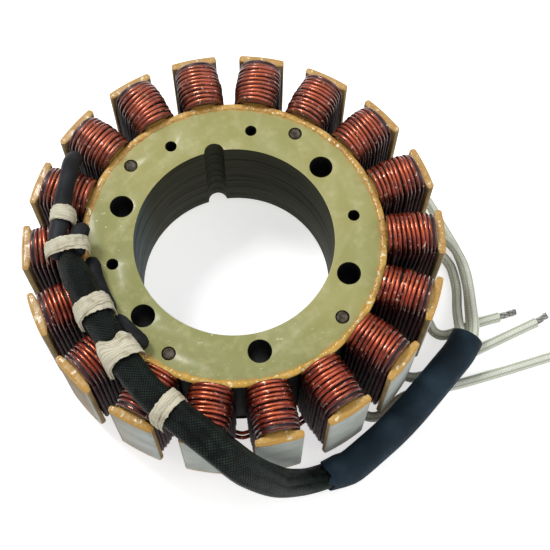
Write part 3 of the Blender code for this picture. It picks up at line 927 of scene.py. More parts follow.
@dataclass(frozen=True)
class MatteSleeving:
    """Dark flexible sleeving: smooth, slightly chalky, with fine ribs around it."""

    name: str
    dark: Colour
    light: Colour
    roughness: float
    ribs: float = 0.00006
    shine: float = 0.35

    def material(self) -> bpy.types.Material:
        """Build the material.

        Returns:
            The sleeving.
        """
        paint = Painter(self.name)
        place = paint.place()
        dust = paint.noise(place, 600.0, 4.0, 0.65)
        cloud = paint.noise(place, 90.0, 2.0)
        ground = paint.mix(paint.span(cloud, 0.35, 0.65), self.dark, self.light)
        paint.colour(paint.mix(paint.span(dust, 0.5, 0.75, 0.0, 0.5), ground, self.light))
        paint.roughness(paint.span(dust, 0.3, 0.7, self.roughness - 0.08, self.roughness + 0.1))
        paint.specular(self.shine)
        paint.relief(dust, self.ribs, 0.6)
        return paint.material


@dataclass(frozen=True)
class Braid:
    """Threads that cross in a braid, drawn over the flow map.

    The pitch is a thread's width along the cord, and carriers is how many threads run each way round.
    A tracer is a coloured thread on each side of the cord, placed by its share of the way round.
    """

    name: str
    dark: Colour
    light: Colour
    pitch: float
    carriers: int
    depth: float
    roughness: float
    shine: float = 0.5
    tracer: Colour | None = None
    stain_and_side_shade: float = 0.25
    folds: float = 0.0
    folds_from: tuple[float, float] = (0.045, 0.08)
    tracer_at: float = 0.41
    tracer_edge: tuple[float, float] = (0.035, 0.02)

    def material(self) -> bpy.types.Material:
        """Build the material.

        Returns:
            The braid.
        """
        paint = Painter(self.name)
        along, around, _ = paint.split(paint.flow())
        rings = paint.times(along, math.pi / self.pitch)
        turns = paint.times(around, math.pi * self.carriers)
        left = paint.wave(paint.plus(rings, turns))
        right = paint.wave(paint.compute("SUBTRACT", rings, turns))
        weave = paint.times(left, right)
        place = paint.place()
        weave = paint.times(weave, paint.span(paint.noise(place, 320.0, 2.0), 0.3, 0.65, 0.35, 1.0))
        fuzz = paint.noise(place, 1500.0, 3.0, 0.7)
        # Folds along the bend: ridges in the relief, and a painted sheen that lightens the weave on them.
        drift = paint.times(paint.noise(place, 50.0, 1.0), 7.0)
        fold = paint.wave(paint.plus(paint.times(around, math.pi * 9), drift))
        fold = paint.times(fold, paint.span(along, *self.folds_from, 0.25 * self.folds, self.folds))
        lit = paint.span(paint.plus(weave, paint.times(fuzz, 0.5)), 0.35, 1.15)
        lit = paint.times(lit, paint.plus(fold, 1.0 - 0.5 * self.folds))
        ground = paint.mix(lit, self.dark, self.light)
        cloud = paint.span(paint.noise(place, 120.0, 2.0), 0.4, 0.7, 0.0, self.stain_and_side_shade)
        ground = paint.mix(cloud, ground, self.dark)
        if self.tracer is not None:
            aside = paint.compute("ABSOLUTE", paint.compute("SUBTRACT", around, 0.5))
            stripe = paint.compute("ABSOLUTE", paint.compute("SUBTRACT", aside, self.tracer_at))
            ground = paint.mix(paint.span(stripe, *self.tracer_edge, 0.0, 0.8), ground, self.tracer)
        paint.colour(ground)
        paint.roughness(paint.span(fuzz, 0.3, 0.7, self.roughness - 0.1, self.roughness + 0.1))
        paint.specular(self.shine)
        rough = paint.plus(weave, paint.times(fuzz, 0.3))
        paint.relief(paint.plus(rough, paint.times(fold, 1.6)), self.depth, 0.8)
        return paint.material


@dataclass(frozen=True)
class GlassTape:
    """Cream woven tape, with warp threads along it and brown varnish soaked in."""

    cream: Colour = srgb(203, 194, 162)
    white: Colour = srgb(234, 229, 208)
    brown: Colour = srgb(150, 131, 94)
    warp: float = 0.00034
    weft: float = 0.0005

    def material(self) -> bpy.types.Material:
        """Build the material.

        Returns:
            The tape.
        """
        paint = Painter("glass_tape", roughness=0.75)
        place = paint.place()
        along, across, _ = paint.split(paint.flow())
        warp = paint.wave(paint.times(across, math.pi / self.warp))
        weft = paint.wave(paint.times(along, math.pi / self.weft))
        weave = paint.plus(paint.times(warp, 0.65), paint.times(weft, 0.35))
        cloud = paint.noise(place, 240.0, 3.0, 0.6)
        ground = paint.mix(paint.span(weave, 0.2, 0.9), self.cream, self.white)
        streak = paint.noise(paint.stretch(paint.flow(), (90.0, 1400.0, 0.0)), 1.0, 3.0, 0.6)
        ground = paint.mix(paint.span(streak, 0.5, 0.66, 0.0, 0.45), ground, self.brown)
        paint.colour(paint.mix(paint.span(cloud, 0.5, 0.76, 0.0, 0.8), ground, self.brown))
        paint.relief(paint.plus(weave, paint.times(cloud, 1.5)), 0.00016, 0.7)
        return paint.material


@dataclass(frozen=True)
class TinnedStrands:
    """Grey tinned copper strands."""

    light: Colour = srgb(190, 190, 186)
    dark: Colour = srgb(120, 116, 110)

    def material(self) -> bpy.types.Material:
        """Build the material.

        Returns:
            The strands' metal.
        """
        paint = Painter("tinned_strands", metallic=0.85)
        worn = paint.noise(paint.place(), 1200.0, 3.0, 0.6)
        paint.colour(paint.mix(paint.span(worn, 0.35, 0.65), self.dark, self.light))
        paint.roughness(paint.span(worn, 0.3, 0.7, 0.25, 0.42))
        paint.relief(worn, 0.00004, 0.5)
        return paint.material


@dataclass
class LaminatedCore:
    """The coated lamination stack: ring, eighteen T-shaped teeth, bore with its notch, and holes."""

    poles: int = 18
    first_pole: float = 70.0
    radius: float = 0.062
    bottom: float = 0.005
    top: float = 0.040
    ring_radius: float = 0.0443982
    bore_radius: float = 0.0294996
    neck_width: float = 0.0072003
    head_width: float = 0.0140002
    head_thickness: float = 0.0026
    tip_thickness: float = 0.0019
    notch_angle: float = 90.0
    notch_radius: float = 0.003
    notch_depth: float = 0.0026
    bolt_circle: float = 0.034999
    bolt_diameter: float = 0.007
    bolt_angles: tuple[float, ...] = (30.0, 150.0, 210.0, 270.0, 330.0)
    pilot_circle: float = 0.0361026
    pilot_diameter: float = 0.0035
    pilot_angles: tuple[float, ...] = (0.0, 70.0, 110.0, 180.0)
    rivet_circle: float = 0.0393018
    rivet_hole: float = 0.0041
    rivet_angles: tuple[float, ...] = (50.0, 130.0, 230.0, 310.0)
    edge: float = 0.00045
    foot_round: float = 0.0006
    seat_round: float = 0.0005
    lip_round: float = 0.0007
    rim_round: float = 0.0003
    cutter_heights: tuple[float, float] = (0.0, 0.045)
    rounding_steps: int = 3
    rounding_angle: float = 60.0
    smooth_angle: float = 38.0

    def tooth(self, degrees: float) -> list[Vector]:
        """Draw one tooth.

        Args:
            degrees: Its angle.

        Returns:
            Its outline, anticlockwise.
        """
        half_neck, half_head = self.neck_width / 2, self.head_width / 2
        root = math.sqrt(self.ring_radius ** 2 - half_neck ** 2)
        seat = self.radius - self.head_thickness
        rim = math.sqrt(self.radius ** 2 - half_head ** 2)
        lip = rim - self.tip_thickness
        reach = math.degrees(math.asin(half_head / self.radius))
        side = [Vector(point) for point in (
            (root - 0.0003, -half_neck - self.foot_round),
            (root + self.foot_round, -half_neck),
            (seat - self.seat_round, -half_neck),
            (seat - 0.0001, -half_neck - self.seat_round),
            (lip, -half_head + self.lip_round),
            (lip + 0.0002, -half_head + 0.0002),
            (lip + 0.0006, -half_head),
            (rim - self.rim_round, -half_head + 0.0001),
        )]
        face = [polar(self.radius, reach * share).xy for share in np.linspace(-0.93, 0.93, 13)]
        outline = side + face + [Vector((point.x, -point.y)) for point in reversed(side)]
        turn = Matrix.Rotation(math.radians(degrees), 2)
        return [turn @ point for point in outline]

    def outline(self) -> list[Vector]:
        """Draw the whole lamination.

        Returns:
            Its outline, anticlockwise.
        """
        half_neck = math.degrees(math.asin((self.neck_width / 2 + self.foot_round) / self.ring_radius))
        pitch = 360.0 / self.poles
        points: list[Vector] = []
        for pole in range(self.poles):
            degrees = self.first_pole + pole * pitch
            points += self.tooth(degrees)
            gap = pitch - 2 * half_neck
            points += [polar(self.ring_radius, degrees + half_neck + gap * share).xy for share in (0.2, 0.4, 0.6, 0.8)]
        return points

    def bore(self) -> list[Vector]:
        """Draw the bore with its notch.

        Returns:
            Its outline, anticlockwise.
        """
        half = math.degrees(math.asin(self.notch_radius / self.bore_radius))
        points = [polar(self.bore_radius, self.notch_angle + half + (360.0 - 2 * half) * share).xy
                  for share in np.linspace(0.0, 1.0, 181)]
        centre = polar(self.bore_radius + self.notch_depth - self.notch_radius, self.notch_angle).xy
        points += [centre + polar(self.notch_radius, self.notch_angle - 90.0 + 180.0 * step / 20).xy
                   for step in range(1, 20)]
        return points

    def holes(self) -> list[list[Vector]]:
        """Draw the bolt, pilot and rivet holes.

        Returns:
            Their outlines, anticlockwise.
        """
        rings = []
        for circle, diameter, angles in (
            (self.bolt_circle, self.bolt_diameter, self.bolt_angles),
            (self.pilot_circle, self.pilot_diameter, self.pilot_angles),
            (self.rivet_circle, self.rivet_hole, self.rivet_angles),
        ):
            for degrees in angles:
                centre = polar(circle, degrees).xy
                rings.append([centre + polar(diameter / 2, 360.0 * i / 40).xy for i in range(40)])
        return rings

    @staticmethod
    def prism(outlines: Sequence[Sequence[Vector]], low: float, high: float) -> bpy.types.Mesh:
        """Raise outlines into closed prisms.

        Args:
            outlines: The outlines, anticlockwise.
            low: The height of their feet.
            high: The height of their tops.

        Returns:
            One mesh with all the prisms.
        """
        shape = bmesh.new()
        for outline in outlines:
            foot = [shape.verts.new((p.x, p.y, low)) for p in outline]
            head = [shape.verts.new((p.x, p.y, high)) for p in outline]
            shape.faces.new(list(reversed(foot)))
            shape.faces.new(head)
            for i in range(len(foot)):
                j = (i + 1) % len(foot)
                shape.faces.new((foot[i], foot[j], head[j], head[i]))
        data = bpy.data.meshes.new("prism")
        shape.to_mesh(data)
        shape.free()
        return data

    def role(self, face: bpy.types.MeshPolygon) -> Role:
        """Tell which face of the stack a polygon belongs to.

        Args:
            face: The polygon.

        Returns:
            Its role.
        """
        centre = face.center
        radius = centre.xy.length
        if abs(face.normal.z) > 0.5:
            return Role.END
        if radius > self.radius - 0.0012 and face.normal.xy.dot(centre.xy.normalized()) > 0.6:
            return Role.POLE_FACE
        if radius > self.ring_radius - 0.001:
            return Role.TOOTH_SIDE
        inward = -face.normal.xy.dot(centre.xy.normalized())
        in_notch = radius < self.bore_radius + self.notch_depth + 0.0005 and abs(centre.x) < self.notch_radius + 0.0005
        if (radius < self.bore_radius + 0.0003 and inward > 0.5) or (in_notch and centre.y > 0.0):
            return Role.BORE
        return Role.HOLE

    def build(self) -> bpy.types.Object:
        """Build and dress the stack.

        Returns:
            The stack's piece.
        """
        data = self.prism([self.outline()], self.bottom, self.top)
        piece = bpy.data.objects.new("core_stack", data)
        cutter = bpy.data.objects.new("core_cutter", self.prism([self.bore()] + self.holes(), *self.cutter_heights))
        for item in (piece, cutter):
            bpy.context.scene.collection.objects.link(item)
        cut = piece.modifiers.new("cut", "BOOLEAN")
        cut.operation, cut.solver, cut.object = "DIFFERENCE", "EXACT", cutter
        rounding = piece.modifiers.new("edge", "BEVEL")
        rounding.width, rounding.segments = self.edge, self.rounding_steps
        rounding.limit_method, rounding.angle_limit = "ANGLE", math.radians(self.rounding_angle)
        graph = bpy.context.evaluated_depsgraph_get()
        final = bpy.data.meshes.new_from_object(piece.evaluated_get(graph))
        for item in (piece, cutter):
            bpy.data.objects.remove(item)
        final.materials.clear()
        final.polygons.foreach_set("material_index", [self.role(face).value for face in final.polygons])
        final.shade_smooth()
        final.set_sharp_from_angle(angle=math.radians(self.smooth_angle))
        finishes = (EpoxyCoat(), ToothSideCoat(), PoleFaceCoat(), BoreWall(), HoleWall())
        materials = [finish.material() for finish in finishes]
        return place("core_stack", final, materials, "epoxy_coat", ("laminated_core",))


@dataclass
class VarnishBead:
    """The lumpy amber bead round the ring's rim, where the coils meet it, and the skins on the heads' ends."""

    core: LaminatedCore
    inner: float = 0.0429
    outer: float = 0.0449
    height: float = 0.0007
    steps: int = 900
    skin_height: float = 0.0005
    overlap: float = 0.00004

    def bead(self, sheet: Sheet, level: float, way: float) -> None:
        """Add the bead on one end of the stack.

        Args:
            sheet: The sheet that takes it.
            level: The height of that end.
            way: 1 for a bead that stands up, -1 for one that hangs down.
        """
        profile = np.linspace(0.0, math.pi, 9)
        rows = []
        for step in range(self.steps + 1):
            degrees = 360.0 * (step % self.steps) / self.steps
            seed = polar(1.0, degrees)
            lump = noise.fractal(seed * 22.0 + Vector((0, 0, way)), 1.0, 2.0, 3)
            ripple = noise.noise(seed * 95.0)
            inner = self.inner + 0.0004 * noise.noise(seed * 40.0) - 0.0003 * ripple
            high = self.height * (0.8 + 0.4 * lump + 0.25 * ripple)
            row = []
            for bend in profile:
                radius = (self.outer + inner) / 2 - (self.outer - inner) / 2 * math.cos(bend) * way
                lift = max(0.0, math.sin(bend)) ** 0.8 * max(0.0003, high) - 0.0001
                row.append(polar(radius, degrees, level + way * lift))
            rows.append(row)
        along = np.linspace(0.0, math.tau * self.outer, self.steps + 1)
        sheet.add_grid(np.array(rows), along, np.linspace(0.0, 1.0, len(profile)), False)

    def skins(self, sheet: Sheet, level: float, way: float) -> None:
        """Add the varnish skins on the heads of one end of the stack.

        Args:
            sheet: The sheet that takes them.
            level: The height of that end.
            way: 1 for skins that stand up, -1 for ones that hang down.
        """
        core = self.core
        half = core.head_width / 2 - core.edge * 0.7
        lip = math.sqrt(core.radius ** 2 - half ** 2) - core.tip_thickness
        for pole in range(core.poles):
            turn = Matrix.Rotation(math.radians(core.first_pole + pole * 360.0 / core.poles), 3, "Z")
            grid = []
            for across in np.linspace(-1.0, 1.0, 33):
                rim = math.sqrt((core.radius - core.edge * 0.7) ** 2 - (across * half) ** 2)
                seat = core.radius - core.head_thickness - 0.0002
                foot = lip + (seat - 0.0006 - lip) * (1.0 - min(1.0, abs(across) * 1.02) ** 1.5)
                row = []
                for deep in np.linspace(0.0, 1.0, 9):
                    point = Vector((foot + (rim - foot) * deep, across * half * way, 0.0))
                    edge = max(0.0, 1.0 - across ** 6) * max(0.0, 1.0 - (2 * deep - 1) ** 4)
                    spot = turn @ point
                    near = min(1.0, max(0.0, -spot.y / 0.045))
                    lump = noise.noise(spot * 320.0 + Vector((0, 0, 7 * way))) + 0.9 * near * noise.noise(spot * 1000.0)
                    swell = 0.45 + 0.55 * edge ** 0.5 * (0.8 + 0.5 * lump)
                    high = self.skin_height * swell * min(1.0, 6 * edge + 0.15)
                    row.append(spot + Vector((0, 0, level + way * (high - self.overlap))))
                grid.append(row)
            sheet.add_grid(np.array(grid), np.linspace(-half, half, 33), np.linspace(0.0, 0.003, 9), False)

    def build(self) -> bpy.types.Object:
        """Build and dress the varnish.

        Returns:
            The varnish piece.
        """
        sheet = Sheet()
        ends = ((self.core.top, 1.0), (self.core.bottom, -1.0))
        for level, way in ends:
            self.bead(sheet, level, way)
        beads = sum(len(quads) for quads in sheet.quads)
        for level, way in ends:
            self.skins(sheet, level, way)
        data = sheet.mesh("varnish_bead")
        data.polygons.foreach_set("material_index", [int(i >= beads) for i in range(len(data.polygons))])
        skin = Varnish("head_varnish", amber=srgb(206, 163, 98), honey=srgb(194, 148, 78), straw=srgb(218, 184, 126),
                       gold=srgb(206, 158, 62), relief=0.00014, clear=0.35)
        return place("varnish_bead", data, [Varnish().material(), skin.material()], "epoxy_coat")


@dataclass
class CoreRivet:
    """A flush rivet with a slightly dished head.

    The head's profile is given by shares of its radius and how far each stands out.
    """

    radius: float = 0.00175
    low: float = 0.00475
    high: float = 0.04025
    sides: int = 24
    profile: tuple[tuple[float, float], ...] = (
        (0.15, -0.0001), (0.55, -0.0001), (0.74, 0.0), (0.88, -0.00008), (1.0, -0.0003),
    )

    def build(self, core: LaminatedCore) -> None:
        """Build and dress the stack's rivets.

        Args:
            core: The stack that they hold.
        """
        steel = Steel().material()
        foot = [(share, self.low - rise) for share, rise in self.profile]
        head = [(share, self.high + rise) for share, rise in reversed(self.profile)]
        rows = [[polar(self.radius * share, 360.0 * i / self.sides, height) for i in range(self.sides)]
                for share, height in foot + head]
        for number, degrees in enumerate(core.rivet_angles, start=1):
            grid = np.array(rows) + np.array(polar(core.rivet_circle, degrees))
            sheet = Sheet()
            sheet.add_grid(grid[:, ::-1], np.linspace(0, 1, len(rows)), np.linspace(0, 1, self.sides + 1), True)
            sheet.add_cap(grid[0], 0.0, True)
            sheet.add_cap(grid[-1], 1.0, False)
            name = f"rivet_{number}"
            place(name, sheet.mesh(name, 35.0), [steel], "rivet_steel", (f"core_rivet_{number}",))


@dataclass
class Coil:
    """One tooth's winding: eleven real turns of enamelled wire over a second layer.

    The end turns sink below the middle ones, and each turn has its own slack, drift and swing, in metres
    at most. The step is the share of a turn where the wire goes over to the next turn's place.
    """

    number: int
    slant: float | None = None
    turns: int = 11
    side_heights: tuple[float, float] = (0.0055, 0.0395)
    start: float = 0.0446982
    end: float = 0.0591
    half_width: float = 0.0065501
    belly: float = 0.0004
    low: float = 0.0
    high: float = 0.045
    hole_half_width: float = 0.0039
    hole_low: float = 0.0047
    hole_high: float = 0.0403
    corner: float = 0.0056
    wire: float = 0.00066
    sides: int = 9
    top_sink: float = 0.0009
    foot_sink: float = 0.0006
    slack: float = 0.00025
    unevenness: float = 0.0003
    slant_limit: float = 0.0009
    drift: float = 0.00016
    swing: float = 0.0002
    step: float = 0.18

    def loop(self, half_width: float, low: float, high: float, corner: float) -> np.ndarray:
        """Return the rounded path of one turn round the tooth, across and up, from its lower middle.

        Args:
            half_width: Half the path's width.
            low: Its lowest height.
            high: Its highest height.
            corner: The radius of its corners.

        Returns:
            The points, across and up, without the first one repeated.
        """
        points: list[tuple[float, float]] = [(0.0, low)]
        inner = half_width - corner
        rise = [(half_width, low + (high - low) * share) for share in (0.32, 0.5, 0.68)]
        fall = [(-across, up) for across, up in reversed(rise)]
        for middle_x, middle_z, first, after in (
            (inner, low + corner, -90, rise), (inner, high - corner, 0, [(0.0, high)]),
            (-inner, high - corner, 90, fall), (-inner, low + corner, 180, []),
        ):
            for bend in np.linspace(0, 90, 8):
                angle = math.radians(first + bend)
                points.append((middle_x + corner * math.cos(angle), middle_z + corner * math.sin(angle)))
            points += after
        return np.array(points)

    def winding(self, rand: random.Random) -> np.ndarray:
        """Return the centreline of the outer layer, wound from the ring out to the head.

        Args:
            rand: The coil's own random numbers.

        Returns:
            The points in the tooth's frame: out, across and up.
        """
        wire = self.wire
        pitch = (self.end - self.start - 2 * wire) / (self.turns - 1)
        slant = rand.uniform(-self.slant_limit, self.slant_limit) if self.slant is None else self.slant
        rows = []
        for turn in range(self.turns):
            share = turn / (self.turns - 1)
            bulge = math.sin(math.pi * share)
            shoulder = (1.0 - bulge) ** 2
            half = self.half_width + self.belly * bulge - wire - self.slack * rand.random()
            sink = self.top_sink * shoulder * (1.3 if share > 0.5 else 0.6)
            high = self.high - wire - sink - self.unevenness * rand.random()
            low = self.low + wire + self.foot_sink * shoulder + 0.0001
            path = self.loop(half, low, high, min(self.corner, half - 0.0002))
            count = len(path)
            drift = rand.uniform(-self.drift, self.drift)
            swing = rand.uniform(-self.swing, self.swing)
            for i, (across, up) in enumerate(path):
                part = i / count
                lean = slant * across / half * (2 * up / self.high - 1) + swing * math.sin(part * math.tau * 2)
                step = max(0.0, (part - (1.0 - self.step)) / self.step) if turn < self.turns - 1 else 0.0
                out = self.start + wire + pitch * (turn + step) + (drift + lean) * bulge
                rows.append((out, across, up))
        line = np.array(rows)
        line[:, 0] = line[:, 0].clip(self.start + wire, self.end - wire)
        return line

    def ring(self, out: float, half: float, low: float, high: float) -> np.ndarray:
        """Return one closed turn of the second layer at a distance out, with its width and its two heights."""
        path = self.loop(half, low, high, min(self.corner, half) * 0.8)
        return np.column_stack([np.full(len(path) + 1, out), np.vstack([path, path[:1]])])

    def layer(self, height: float) -> CoilLayer:
        """Return which finish the wire wears at a height."""
        low, high = self.side_heights
        return CoilLayer.SIDE if low < height < high else CoilLayer.END

    def build(self, core: LaminatedCore, finishes: Sequence[bpy.types.Material]) -> bpy.types.Object:
        """Build and dress the coil.

        Args:
            core: The stack that carries it.
            finishes: The wire's finish at the coil's ends, the filling's, and the wire's down its sides.

        Returns:
            The coil's piece.
        """
        rand = random.Random(200 + self.number)
        sheet = Sheet()
        line = self.winding(rand)
        grid = tube_grid(line, np.full(len(line), self.wire * 0.985), self.sides, first_side=(1.0, 0.0, 0.0))
        add_tube(sheet, grid, line, self.wire * 0.4)
        layer = self.wire * 2
        for out in (self.start + self.wire, self.end - self.wire):
            line = self.ring(out, self.half_width - layer - self.wire, self.low + layer + self.wire + self.foot_sink,
                             self.high - layer - self.wire - self.top_sink)
            grid = tube_grid(line, np.full(len(line), self.wire * 0.98), self.sides, first_side=(1.0, 0.0, 0.0))
            sheet.add_grid(grid, np.linspace(0, 0.1, len(line)), np.linspace(0, 1, self.sides + 1), True)
        wound = len(sheet.quads)
        inner = self.loop(self.hole_half_width, self.hole_low, self.hole_high, 0.0002)
        outer = self.loop(self.half_width - self.wire * 1.5, self.low + self.wire * 1.7, self.high - self.wire * 2.0,
                          self.corner - self.wire)
        near, far = self.start + self.wire * 1.1, self.end - self.wire * 1.1
        rows = [np.column_stack([np.full(len(path), out), path])
                for out, path in ((near, inner), (near, outer), (far, outer), (far, inner), (near, inner))]
        sheet.add_grid(np.array(rows), np.linspace(0, 1, 5), np.linspace(0, 1, len(inner) + 1), True)
        degrees = core.first_pole + (self.number - 1) * 360.0 / core.poles
        turn = np.array(Matrix.Rotation(math.radians(degrees), 3, "Z"))
        sheet.points = [points @ turn.T for points in sheet.points]
        name = f"coil_winding_{self.number:02d}"
        wire_faces = sum(len(quads) for quads in sheet.quads[:wound])
        data = sheet.mesh(name)
        layers = [CoilLayer.FILLING if i >= wire_faces else self.layer(face.center.z)
                  for i, face in enumerate(data.polygons)]
        data.polygons.foreach_set("material_index", [layer.value for layer in layers])
        return place(name, data, finishes, "enamelled_copper", (f"coil_{self.number:02d}",))


@dataclass
class CrossoverWires:
    """The wires that cross from coil to coil under the stack, in the two slots where the photograph shows them.

    The sag gives five points of a wire: the share of its reach, how far out it bows and how far it hangs.
    """

    slots: tuple[float, ...] = (260.0, 280.0)
    reach: float = 5.2
    radii: tuple[float, ...] = (0.0482, 0.0495)
    height: float = 0.0036
    wire: float = 0.0006
    layer_drop: float = 0.0006
    sag: tuple[tuple[float, float, float], ...] = (
        (-1.0, 0.0, -0.0012), (-0.5, 0.0002, 0.0004), (0.0, 0.0006, 0.0011), (0.5, 0.0003, 0.0006), (1.0, 0.0, -0.0008),
    )

    def build(self, copper: bpy.types.Material) -> bpy.types.Object:
        """Build and dress the wires.

        Args:
            copper: The wire's finish.

        Returns:
            The wires' piece.
        """
        sheet = Sheet()
        for slot in self.slots:
            for layer, radius in enumerate(self.radii):
                lower = self.layer_drop * layer
                route = [tuple(polar(radius + out, slot + self.reach * share, self.height - drop - lower))
                         for share, out, drop in self.sag]
                line = smooth_line(route, self.wire)
                add_tube(sheet, tube_grid(line, np.full(len(line), self.wire), 10), line, self.wire * 0.4)
        return place("crossover_wires", sheet.mesh("crossover_wires"), [copper], "enamelled_copper")


@dataclass
class JointSleeve:
    """A soft sleeve over the joint of a coil end and a lead, lying on the coils."""

    number: int
    route: Sequence[Point]
    radius: float = 0.0026
    sides: int = 28
    step: float = 0.0007
    end_round: float = 0.0014

    def radius_at(self, distance: float, bend: float) -> float:
        """Give the dented sleeve's radius.

        Args:
            distance: How far along the sleeve.
            bend: The angle round it.

        Returns:
            The radius there.
        """
        dent = noise.noise(Vector((distance * 260.0, 2.2 * math.cos(bend), 2.2 * math.sin(bend) + self.number)))
        crease = noise.noise(Vector((distance * 900.0, 1.1 * math.cos(bend), self.number * 3.0)))
        return self.radius * (0.97 + 0.05 * dent + 0.02 * crease)

    def build(self, sleeving: bpy.types.Material) -> bpy.types.Object:
        """Build and dress the sleeve.

        Args:
            sleeving: Its finish.

        Returns:
            The sleeve's piece.
        """
        line = smooth_line(self.route, self.step)
        along = distances(line)
        radii = shaped_radii(along, self.sides, self.radius_at)
        ends = np.minimum(along, along[-1] - along)
        radii *= (0.8 + 0.2 * np.clip(ends / self.end_round, 0.0, 1.0) ** 0.5)[:, None]
        sheet = Sheet()
        add_tube(sheet, tube_grid(line, radii, self.sides), line, self.radius * 0.5)
        name = f"joint_sleeving_{self.number}"
        return place(name, sheet.mesh(name), [sleeving], "joint_sleeving", (f"joint_sleeve_{self.number}",))


@dataclass
class TapeBand:
    """A band of glass tape tied over the sleeves: wraps that lie over each other, creased and frayed.

    A wrap has a shift along the sleeves, a slant in degrees and a width. A peak draws an edge out: where
    along the arch, how broad, and how far out before and after the band.
    """

    number: int
    centre: tuple[float, float]
    heading: float
    half_width: float
    spring: float
    crown: float
    outer_foot: float
    inner_foot: float
    wraps: tuple[tuple[float, float, float], ...] = ((0.0, 0.0, 0.0048), (0.0005, 4.0, 0.0038))
    peaks: tuple[tuple[float, float, float, float], ...] = ()
    taper: float = 1.0
    fray: float = 0.0003
    crease: float = 0.00022
    thickness: float = 0.00022
    steps: int = 72
    threads: int = 13
    gap: float = 0.0002
    layer: float = 0.00024

    def arch(self, share: float, lift: float) -> tuple[float, float, float, float]:
        """Return a place on the arch: across, up, and the direction that it faces there.

        Args:
            share: How far along the arch, from the outer foot at 0 to the inner one at 1.
            lift: How far outside the arch's line.

        Returns:
            Across, up, and the facing's two numbers.
        """
        wide, high = self.half_width, self.crown - self.spring
        outer, inner = self.spring - self.outer_foot, self.spring - self.inner_foot
        bow = math.pi * (wide + high) / 2
        along = share * (outer + bow + inner)
        if along < outer:
            return -wide - lift, self.outer_foot + along, -1.0, 0.0
        if along > outer + bow:
            return wide + lift, self.inner_foot + (outer + bow + inner - along), 1.0, 0.0
        bend = math.pi * (1.0 - (along - outer) / bow)
        across, up = math.cos(bend), math.sin(bend)
        return (wide + lift) * across, self.spring + (high + lift) * up, across, up

    def wrap(self, sheet: Sheet, index: int, shift: float, skew: float, width: float) -> None:
        """Add one wrap of tape.

        Args:
            sheet: The sheet that takes it.
            index: Its number, from the inside out.
            shift: How far it lies along the sleeves.
            skew: Its slant in degrees.
            width: Its width.
        """
        angle = math.radians(self.heading)
        along = Vector((math.cos(angle), math.sin(angle), 0.0))
        side = Vector((-along.y, along.x, 0.0))
        middle = Vector((*self.centre, 0.0))
        slope = math.tan(math.radians(skew))
        seed = self.number * 9.0 + index * 3.0
        rows = []
        for step in range(self.steps + 1):
            share = step / self.steps
            front, back = [], []
            narrow = self.taper + (1.0 - self.taper) * min(1.0, share / 0.22)
            near = [(math.exp(-(((share - at) / spread) ** 2)), before, after)
                    for at, spread, before, after in self.peaks]
            for thread in range(self.threads):
                part = thread / (self.threads - 1) - 0.5
                edge = abs(part) * 2
                rough = noise.fractal(Vector((share * 26.0, part * 0.8, seed)), 0.9, 2.1, 4)
                fold = noise.noise(Vector((share * 5.0, part * 7.0, seed + 5.0)))
                sharp = noise.noise(Vector((share * 3.0, part * 16.0, seed + 9.0)))
                lift = self.gap + index * self.layer + self.crease * (0.9 * fold + 0.7 * sharp) + 0.00006 * rough
                across, up, face, rise = self.arch(share, max(0.00002, lift))
                reach = sum(weight * (after if part > 0.0 else -before) * edge ** 2 for weight, before, after in near)
                offset = shift + part * width * narrow + slope * across + self.fray * rough * edge ** 3 + reach
                point = middle + along * offset + side * across + Vector((0.0, 0.0, up))
                inward = (side * face + Vector((0.0, 0.0, rise))) * self.thickness
                front.append(point)
                back.append(point - inward)
            rows.append(front + back[::-1])
        around = np.concatenate([np.linspace(0, width, self.threads), np.linspace(width, 0, self.threads), [0.0]])
        sheet.add_grid(np.array(rows), np.linspace(0.0, 0.03, len(rows)), around, True)

    def build(self, tape: bpy.types.Material) -> bpy.types.Object:
        """Build and dress the band.

        Args:
            tape: Its finish.

        Returns:
            The band's piece.
        """
        sheet = Sheet()
        for index, (shift, skew, width) in enumerate(self.wraps):
            self.wrap(sheet, index, shift, skew, width)
        name = f"tape_band_{self.number}"
        return place(name, sheet.mesh(name, 50.0), [tape], "glass_tape", (f"lacing_tape_{self.number}",))


